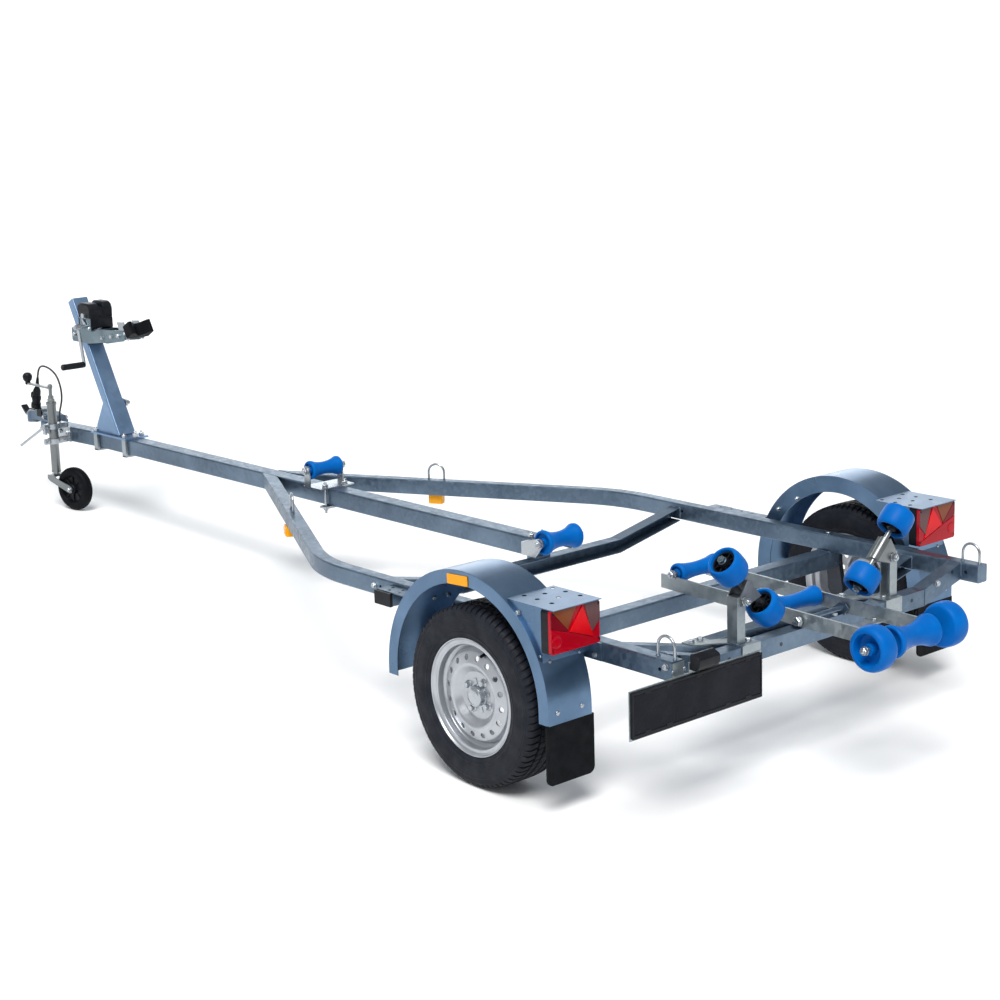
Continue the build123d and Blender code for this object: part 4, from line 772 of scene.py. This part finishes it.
WOB = math.radians(44)
for side, tag in ((1, "left"), (-1, "right")):
    along = Vector((side * math.cos(WOB), 0, math.sin(WOB)))
    middle = Vector((side * 309.5, 529, 590.5))
    for end_name, sign in (("outer", 1), ("inner", -1)):
        body = "wobble_roller_" + tag + "_" + end_name
        m4 = axes_at(middle + along * (sign * 113), along * sign, (0, 1, 0))
        p = Piece()
        outside = [(51.2, 29), (48.6, 34), (45.4, 36.9), (42.4, 37.2), (39.6, 35.9), (38.2, 33), (37.2, 27), (34.4, 11), (32.2, 8.4), (8.3, 8.0)]
        p.lathe([(r, -h) for r, h in reversed(outside)] + [(52.8, -20), (53.7, -8), (53.8, 6), (53.0, 19)] + outside, m4, 88, closed=True)
        p.finish(body + "_body", body, "blue_roller", [body])
        # hub and ribs in each end recess, made black: the black is painted shade of the recess
        p = Piece()
        core = [(8.3, 8), (34.0, 8), (34.6, 12), (36.9, 26), (36.4, 27.2), (32.4, 26.4), (31.2, 13.5), (19, 11.6), (17.6, 14), (16.2, 31.5),
                (15.0, 33.2), (8.3, 33.2)]
        for face in (1, -1):
            p.lathe([(r, face * h) for r, h in (core if face > 0 else core[::-1])], m4, 64, closed=True)
            for i in range(8):
                a = 2 * math.pi * i / 8
                p.block(m4 @ Vector((24.8 * math.cos(a), 24.8 * math.sin(a), face * 18)), (15, 2.4, 12), 0.6,
                        m4.to_3x3() @ Vector((0, 0, 1)), m4.to_3x3() @ Vector((math.cos(a), math.sin(a), 0)))
        p.finish(body + "_core_painted_shade", body, "black_plastic")
        p = Piece()
        m5 = axes_at(middle + along * (sign * 147.2), along * sign, (0, 1, 0))
        p.nut(m5 @ Vector((0, 0, 0)), along * sign, 13, True, 3.0)
        p.finish("wobble_nut_" + tag + "_" + end_name, "wobble_arm_" + tag, "blue_zinc")

# ------------------------------------------------------------------ fasteners on the frame
p = Piece()
for side in (1, -1):
    # keel roller pins
    p.nut((side * (73 + 10), -1990, 548), (side, 0, 0), 16, True, 4, 0.1)
    p.nut((side * (80 + 10), -622, 487), (side, 0, 0), 16, True, 4, 0.5)
    # U-bolts: winch post foot and front keel roller
    for y in (-3674, -3430):
        p.nut((side * 45, y, 487.6), (0, 0, 1), 12, True, 9, 0.3)
    p.nut((side * 48, -1920, 484.6), (0, 0, 1), 12, True, 9, 0.2)
    p.nut((side * 48, -1920, 403), (0, 0, -1), 11, False, 4, 0.3)
    # cradle pivot and saddle bolts
    p.bolt((side * 113.5, 560, 452), (side, 0, 0), 16, True, 0.3)
    p.bolt((side * 60, 528, 433), (0, 0, 1), 10, True)
    p.bolt((side * 60, 556, 433), (0, 0, 1), 10, True, 0.1)
    # wobble posts: pivot nuts, foot strap bolts
    p.nut((side * 347, 555, 562), (0, 1, 0), 14, True, 5, 0.2)
    p.bolt((side * 347, 503, 562), (0, -1, 0), 14, True, 0.2)
    for x, y, z in ((318, 540, 432), (318, 345, 394), (356, 345, 394)):
        p.bolt((side * x, y, z), (0, 0, 1), 10, True, x * 0.1)
    # rear cross member, its face and ends
    p.bolt((side * 560, 567, 436), (0, 1, 0), 10, True, 0.6)
    # rail end plates
    p.bolt((side * 738, 610, 462), (side, 0, 0), 10, True, 0.7)
    # axle bracket
    p.dome((side * 713, -12, 480), (0, 0, 1), 8, 4.5)
    p.bolt((side * 738, -722, 452), (side, 0, 0), 10, True, 0.2)
    # front cross member's flanges
    p.nut((side * 26, -738, 481), (0, 0, 1), 10, True, 7, 0.4)
for x in (655, 690, 736):
    p.dome((x, 635.2, 452), (0, 1, 0), 5.5, 3.2)
# winch post: nut of the cross bolt through its sleeve and the foot plate's rear bolt
p.nut((-44, -3556, 620), (-1, 0, 0), 16, True, 9)
p.nut((0, -3409, 488), (0, 0, 1), 15, True, 12)
p.finish("frame_fasteners", "root", "bright_zinc")

# flat clamp straps down the beam's sides at the winch post's foot
p = Piece()
for side in (1, -1):
    for y in (-3674, -3430):
        p.prism(rounded(13.6, 30, 2.0), 84, axes_at((side * 44.4, y, 400.6), (0, 0, 1), (1, 0, 0)), 0.8)
for y in (-3674, -3430):
    p.block((0, y, 403), (102.4, 30, 8.4), 1.2)
p.finish("foot_straps", "root", "light_galvanised")

# punched holes in the rear cross member's face, drawn as thin dark discs: their dark is painted shade
p = Piece()
for side in (1, -1):
    for x, z in ((200, 400), (330, 400), (430, 405), (640, 458)):
        p.lathe([(6.5, 0), (6.4, 0.35), (0.01, 0.4)], axes_at((side * x, 567, z), (0, 1, 0)), 24)
p.finish("cross_holes_painted_shade", "root", "dark_steel")

p = Piece()
for side in (1, -1):
    p.nut((side * 206, 890, 449), (side, 0, 0), 13, True, 3, 0.25)
    for y, z in ((32, 500), (452, 470)):
        p.nut((side * 110, y, z), (side, 0, 0), 14, True, 2, 0.4)
    p.bolt((side * 70, 700, 443), (0, 0, 1), 10, True, 0.4)
    p.bolt((side * 70, 250, 453), (0, 0, 1), 10, True, 0.4)
p.finish("cradle_fasteners", "cradle", "bright_zinc")

# ------------------------------------------------------------------ weld beads
p = Piece()
for s in (1, -1):
    # rails against the drawbar
    p.weld([(s * 38.5, -2270 + 0, 479.5), (s * 43, -2215, 480.5)], 2.6)
    # cross members' ends on the rails
    for y0, y1, z1 in ((-750, -700, 466), (320, 368, 466), (517, 567, 480)):
        p.weld([(s * 687.5, y0, z1 - 1), (s * 687.5, y1, z1 - 1)], 3.0)
        p.weld([(s * 687.5, y1, z1 - 2), (s * 687.5, y1, z1 - 44)], 3.0)
        p.weld([(s * 687.5, y0, z1 - 2), (s * 687.5, y0, z1 - 44)], 3.0)
    # bends in the cross members
    p.weld([(s * 498, 567.5, 427.5), (s * 498, 567.5, 374)], 2.2)
    # outrigger stubs
    p.weld([(s * 738.5, -630, 426), (s * 738.5, -630, 466), (s * 738.5, -550, 467.5)], 2.8)
    # lashing eyes
    for ex, ey in ((713, 588),):
        for dy in (-33, 33):
            p.lathe([(7.6, 0), (7.2, 1.6), (5.8, 3.0), (4.4, 3.6)], axes_at((s * ex, ey + dy, 479.6), (0, 0, 1)), 20)
    # axle beam under the rails
    p.weld([(s * 687.5, -42, 419), (s * 687.5, 18, 419)], 3.0)
    p.weld([(s * 738.5, -42, 419), (s * 738.5, 18, 419)], 3.0)
    # wobble posts on their straps
    p.weld([(s * 375, 510, 432.6), (s * 375, 548, 432.6)], 2.4)
    p.weld([(s * 341, 549.6, 432.6), (s * 374, 549.6, 432.6)], 2.4)
# winch post on its foot
p.weld([(-45, -3548, 488.6), (-45, -3478, 488.6), (45, -3478, 488.6), (45, -3548, 488.6)], 2.8)
p.finish("weld_beads", "root", "galvanised_steel")

# ------------------------------------------------------------------ number plate holder and its lamp
p = Piece()
PX, PZ = 668, 376
p.prism([(x + PX, z + PZ) for x, z in rounded(531, 135, 6)], 6.5, facing_y(669.5), 0.8)
# raised rim and inner field
for x0, x1, z0, z1 in ((-265, 265, 60.5, 67), (-265, 265, -67, -56), (-265, -258.5, -56.5, 61), (258.5, 265, -56.5, 61)):
    p.prism([(x + PX + (x0 + x1) / 2, z + PZ + (z0 + z1) / 2) for x, z in rounded(x1 - x0, z1 - z0, 1.5)], 3.5, facing_y(671.8), 0.7)
for x in (-205, -120, 0, 120, 205):
    p.prism([(u + PX + x, v + PZ - 54) for u, v in rounded(24, 8, 2)], 2.4, facing_y(671.6), 0.5)
    p.prism([(u + PX + x, v + PZ + 58) for u, v in rounded(24, 6, 2)], 2.4, facing_y(671.6), 0.5)
p.mat = 1
p.prism([(x + PX, z + PZ + 2) for x, z in rounded(514, 112, 2)], 1.2, facing_y(670.4), 0.3)
p.finish("plate_holder_body", "root", ["black_plastic", "plate_field"], ["plate_holder"])

p = Piece()
p.prism([(0, 0), (0, 44), (4, 48), (14, 50), (34, 40), (38, 34), (37, 16), (30, 4), (24, 0)], 88,
        axes_at((611, 663.5, 455.5), (1, 0, 0), (0, 1, 0)), 2.5)
for i in range(7):
    p.block((622 + i * 11, 698.2, 480), (2.2, 3, 22), 0.6)
p.finish("plate_lamp_body", "root", "black_plastic", ["plate_lamp"])

# ------------------------------------------------------------------ winch
p = Piece()
profile = [(-3627.5, 963), (-3627.5, 1040), (-3629.5, 1052), (-3635, 1062), (-3644, 1069), (-3656, 1072), (-3700, 1073), (-3722, 1072),
           (-3733, 1068), (-3740, 1058), (-3742, 1046), (-3736, 1004), (-3735, 963)]


def side_prism(outline, x0, x1, c):
    """Outline in (Y, Z) extruded from x0 to x1."""
    p.prism(outline, x1 - x0, axes_at((x0, 0, 0), (1, 0, 0), (0, 1, 0)), c)


def raise_top(outline, up, knee=1020):
    return [(y, z + up * max(0, (z - knee)) / (1073 - knee)) for y, z in outline]


upper = [q for q in profile if q[1] > 1003] 
side_prism([(-3629, 1003)] + upper, 4, 59.6, 7)
side_prism([(-3629, 1003)] + raise_top(upper, 5.5), -59.6, -12, 7)
side_prism([(-3632, 1003)] + [(y * 1.0 + (3 if y < -3690 else -3), z - 14 if z > 1030 else z) for y, z in upper], -16, 8, 3)
p.block((0, -3630.5, 984), (112, 5, 44), 1.5)
p.block((0, -3737, 984), (112, 4, 42), 1.2)
# blank raised panel and ribs on the rear face
p.block((22, -3627.6, 1030), (44, 1.6, 26), 0.6, (0, 0, 1), (1, 0, 0))
for x in (-50, -42, -34, -26):
    p.block((x, -3628.6, 1022), (2.4, 3.4, 46), 0.8)
p.finish("winch_cover_body", "root", "black_plastic", ["winch_cover"])

p = Piece()
# strap wound on the drum
p.lathe([(27, -42)] + [(37.2 + (0.5 if i % 2 else 0), -41 + 82 * i / 40) for i in range(41)] + [(27, 42)], axes_at((0, -3681, 1018), (1, 0, 0)), 64)
p.finish("winch_strap", "winch_drum", "webbing")

p = Piece()
for side in (1, -1):
    p.nut((side * 56.2, -3681, 1018), (side, 0, 0), 14, True, 0, 0.3)
    for y, z in ((-3716, 962), (-3646, 962)):
        p.bolt((side * 56, y, z), (side, 0, 0), 8, True, 0.2)
    for y, z in ((-3800, 922), (-3560, 926), (-3420, 948), (-3480, 940)):
        p.bolt((side * 44, y, z), (side, 0, 0), 10, True, y)
    p.bolt((side * 40, -3368, 962), (side, 0, 0), 8, True, 0.2)
p.nut((109.5, -3665, 972), (1, 0, 0), 12, True, 4, 0.4)
# pawl lever beside the cheek
p.prism([(-3705, 1002), (-3692, 1002), (-3672, 984), (-3664, 966), (-3674, 962), (-3690, 980)], 3, axes_at((59.8, 0, 0), (1, 0, 0), (0, 1, 0)), 0.6)
p.finish("winch_fasteners", "root", "bright_zinc")

# crank grip
p = Piece()
grip = [(9.0, -1.2), (12.4, -1.0), (13.4, 1.4), (13.5, 8)]
for i in range(12):
    z0 = 12 + i * 7
    grip += [(13.9, z0), (13.25, z0 + 1.2), (13.25, z0 + 2.4), (13.9, z0 + 3.6)]
grip += [(13.9, 98), (14.1, 103), (13.6, 108), (11.8, 110.8), (6, 111.4), (0.01, 111.5)]
arm_end = Vector((103, -3665 + 32, 972 - 166))
p.lathe(grip, axes_at(arm_end + Vector((2.2, 0, 0)), (1, 0, 0)), 40)
p.finish("crank_grip", "winch_crank", "black_plastic")

# rubber ribs on the bow stop
p = Piece()
lean_ = math.radians(29.4)
up_ = Vector((0, -math.sin(lean_), math.cos(lean_)))
m4 = axes_at((0, -3322, 983), up_, (1, 0, 0))
for z in (-22, -11, 0, 11, 22):
    for s in (1, -1):
        p.block(m4 @ Vector((s * 26.5, 14.2, z)), (43, 2.2, 3.2), 0.8, up_, m4.to_3x3() @ Vector((s * 0.707, 0.707, 0)))
p.finish("bow_stop_ribs", "root", "black_rubber")

# ------------------------------------------------------------------ jockey wheel and coupling
p = Piece()
p.lathe([(8.2, -13), (11.4, -13), (12.0, -8), (12.4, 0), (15, 3), (19.6, 9), (21.6, 16), (21.9, 22), (20.8, 30), (17.4, 37),
         (12, 41.6), (6, 43.2), (0.01, 43.4)], axes_at((100, -4179, 669), (0, 0, 1)), 48)
for i in range(10):
    a = 2 * math.pi * i / 10
    p.rod([(100 + 20.9 * math.cos(a) * q, -4179 + 20.9 * math.sin(a) * q, z) for q, z in ((0.9, 682), (1.0, 688), (0.995, 695), (0.9, 702))], 1.7, 8)
p.finish("jockey_knob", "jockey_tube", "black_plastic")

p = Piece()
# collar, cap nut and grease point on the jockey tube
p.lathe([(21.1, 0), (23.5, 0.5), (23.9, 2), (23.9, 12), (23.2, 13.6), (20, 15.2), (14, 16.4), (9, 16.8)], axes_at((100, -3970, 582.4), (0, 0, 1)), 48)
p.hexagon(axes_at((100, -3970, 598), (0, 0, 1)), 30, 12, 1.5, 0.3)
p.nut((100, -3970, 665), (0, 0, 1), 12, True, 3, 0.2)
p.lathe([(21.05, 0), (22.4, 0.4), (22.4, 6), (21.05, 6.6)], axes_at((100, -3970, 266), (0, 0, 1)), 48)
p.finish("jockey_collar", "jockey_tube", "grey_zinc")

yaw_ = math.radians(13)
fx = Vector((math.cos(yaw_), math.sin(yaw_), 0))
fy = Vector((-math.sin(yaw_), math.cos(yaw_), 0))
hub_y, hub_x = -3970 + 120 * math.cos(yaw_), 100 - 120 * math.sin(yaw_)
hub_z = 281 + (100.04 - 281 - hub_y * math.sin(PITCH)) / math.cos(PITCH)
HUB_ = Vector((hub_x, hub_y, hub_z))
p = Piece()
m4 = axes_at(HUB_, fx, (0, 0, 1))
tyre_ = [(62, -20), (66, -24), (74, -24.9), (82, -24.6), (88, -23.4), (93, -20.8), (96.8, -16.6), (98.8, -11.6), (99.6, -8.4), (99.7, -7.4),
         (98.2, -7.0), (98.2, -5.0), (99.8, -4.6), (99.95, 0)]
p.lathe(tyre_ + [(r, -h) for r, h in reversed(tyre_[:-1])], m4, 80, closed=True)
p.mat = 1
p.lathe([(6.3, -28.6), (22, -28.6), (24.6, -26), (25.2, -15), (27, -10), (56, -9), (60, -13), (62.4, -20.4), (64.4, -20.6), (64.4, 20.6),
         (62.4, 20.4), (60, 13), (56, 9), (27, 10), (25.2, 15), (24.6, 26), (22, 28.6), (6.3, 28.6)], m4, 64, closed=True)
for i in range(8):
    a = 2 * math.pi * i / 8
    for s in (1, -1):
        p.block(m4 @ Vector((42 * math.cos(a), 42 * math.sin(a), s * 12)), (36, 4, 8), 1.0, fx, m4.to_3x3() @ Vector((math.cos(a), math.sin(a), 0)))
p.finish("jockey_wheel_body", "jockey_wheel", ["black_rubber", "black_plastic"], ["jockey_wheel"])
p = Piece()
for s in (1, -1):
    p.nut(HUB_ + fx * (s * 36.1), fx * s, 10, True, 1.0, 0.3)
p.finish("jockey_axle_nuts", "jockey_fork", "bright_zinc")

p = Piece()
# clamp bolts and coupling bolts
for z in (412, 482):
    p.bolt((136, -3962 + 0.2, z), (0, 1, 0), 10, True, 0.2)
    p.nut((136, -3978 - 0.2, z), (0, -1, 0), 10, True, 4, 0.2)
for y in (-3938, -4002):
    p.bolt((43.5, y, 447), (1, 0, 0), 11, True, 0.2)
for s in (1, -1):
    for y in (-4092, -4168):
        p.nut((s * 31.2, y, 490 if y > -4150 else 492), (s, 0, 0), 11, True, 4, 0.4)
p.lathe([(9.5, 0), (9.5, 2), (8, 4.5), (4, 6), (0.01, 6.3)], axes_at((0, -4150, 511.5), (0, 0, 1)), 32)
p.rod([(-22, -4238, 514), (0, -4238, 514), (22, -4238, 514)], 4.2, 16)
# pressed edge round the coupling's mouth
p.lathe([(33.5, 0), (36.6, 0.2), (37.4, 1.6), (37.4, 4.4), (36.4, 6), (33.5, 6)], axes_at((0, -4322, 448.2), (0, 0, 1)), 56, closed=True)
p.finish("front_fasteners", "root", "bright_zinc")

p = Piece()
p.prism([(-4380, 477.5), (-4391, 480), (-4421, 505), (-4426.6, 510), (-4425, 516), (-4418, 517.5), (-4389, 494), (-4378, 491)], 30,
        axes_at((-15, 0, 0), (1, 0, 0), (0, 1, 0)), 2.0)
p.finish("coupling_grip", "root", "black_plastic")

# side marker lenses
for side in (1, -1):
    a = math.radians(side * 28)
    ax_, ay_ = Vector((math.cos(a), -math.sin(a), 0)), Vector((math.sin(a), math.cos(a), 0))
    base = Vector((side * 349, -1724, 420)) + ax_ * (side * 12)
    p = Piece()
    p.prism(rounded(54, 30, 4), 4, axes_at(base + ax_ * (side * 17.2) + Vector((0, 0, -20)), ax_ * side, ay_), 1.2)
    p.finish("marker_lens_" + ("left" if side > 0 else "right"), "root", "amber_lens")

# ------------------------------------------------------------------ floor, light, view
bm = bmesh.new()
bmesh.ops.create_grid(bm, x_segments=8, y_segments=8, size=140.0)
floor_mesh = bpy.data.meshes.new("floor")
bm.to_mesh(floor_mesh)
bm.free()
floor = bpy.data.objects.new("floor", floor_mesh)
bpy.context.scene.collection.objects.link(floor)
m = material("floor_paint", (0.92, 0.925, 0.93), roughness=0.75, specular=0.3)
k = Nodes(m)
k.color(k.mix(k.range(k.noise(0.8, 4), 0.3, 0.7, 0.0, 1.0), (0.915, 0.92, 0.925), (0.93, 0.935, 0.94)))
k.bump(k.noise(180.0, 3), 0.05, 0.0005)
floor_mesh.materials.append(m)

# pale studio wall where the floor ends
wall_mesh = bpy.data.meshes.new("wall")
wall_mesh.from_pydata([(-120, -60, -0.5), (60, -120, -0.5), (60, -120, 12), (-120, -60, 12)], [], [(0, 1, 2, 3)])
wall = bpy.data.objects.new("wall", wall_mesh)
bpy.context.scene.collection.objects.link(wall)
m = material("wall_paint", (0.9, 0.9, 0.9), roughness=0.9, specular=0.0)
k = Nodes(m)
k.color(k.mix(k.range(k.noise(0.3, 2), 0.3, 0.7, 0.0, 1.0), (0.89, 0.895, 0.90), (0.91, 0.915, 0.92)))
m.node_tree.nodes["Principled BSDF"].inputs["Emission Color"].default_value = (1, 1, 1, 1)
m.node_tree.nodes["Principled BSDF"].inputs["Emission Strength"].default_value = 0.75
wall_mesh.materials.append(m)

world = bpy.data.worlds.new("studio")
bpy.context.scene.world = world
world.use_nodes = True
background = world.node_tree.nodes["Background"]
background.inputs["Color"].default_value = (0.93, 0.96, 1.0, 1)
background.inputs["Strength"].default_value = 0.46


def softbox(name, at, look, power, width, height, color=(1, 1, 1)):
    light = bpy.data.lights.new(name, "AREA")
    light.shape, light.size, light.size_y = "RECTANGLE", width, height
    light.energy, light.color = power, color
    o = bpy.data.objects.new(name, light)
    o.visible_camera = False
    bpy.context.scene.collection.objects.link(o)
    o.location = at
    o.rotation_euler = (Vector(look) - Vector(at)).to_track_quat("-Z", "Y").to_euler()
    return o


softbox("sky_left", (2.2, 3.4, 7.0), (0, 0.3, 0.3), 190, 6.0, 8.0, (1.0, 0.99, 0.97))
softbox("sky_far", (-6.0, -9.0, 3.6), (0, 0, 0.5), 300, 13.0, 5.0, (0.90, 0.96, 1.0))
sun = bpy.data.lights.new("sun", "SUN")
sun.energy, sun.angle, sun.color = 2.6, math.radians(28), (1.0, 0.99, 0.97)
lamp = bpy.data.objects.new("sun", sun)
bpy.context.scene.collection.objects.link(lamp)
lamp.rotation_euler = Vector((-0.45, -0.42, -1.0)).to_track_quat("-Z", "Y").to_euler()
bpy.context.scene.view_settings.view_transform = "Standard"
bpy.context.scene.view_settings.look = "None"
bpy.context.scene.view_settings.exposure = 0.0
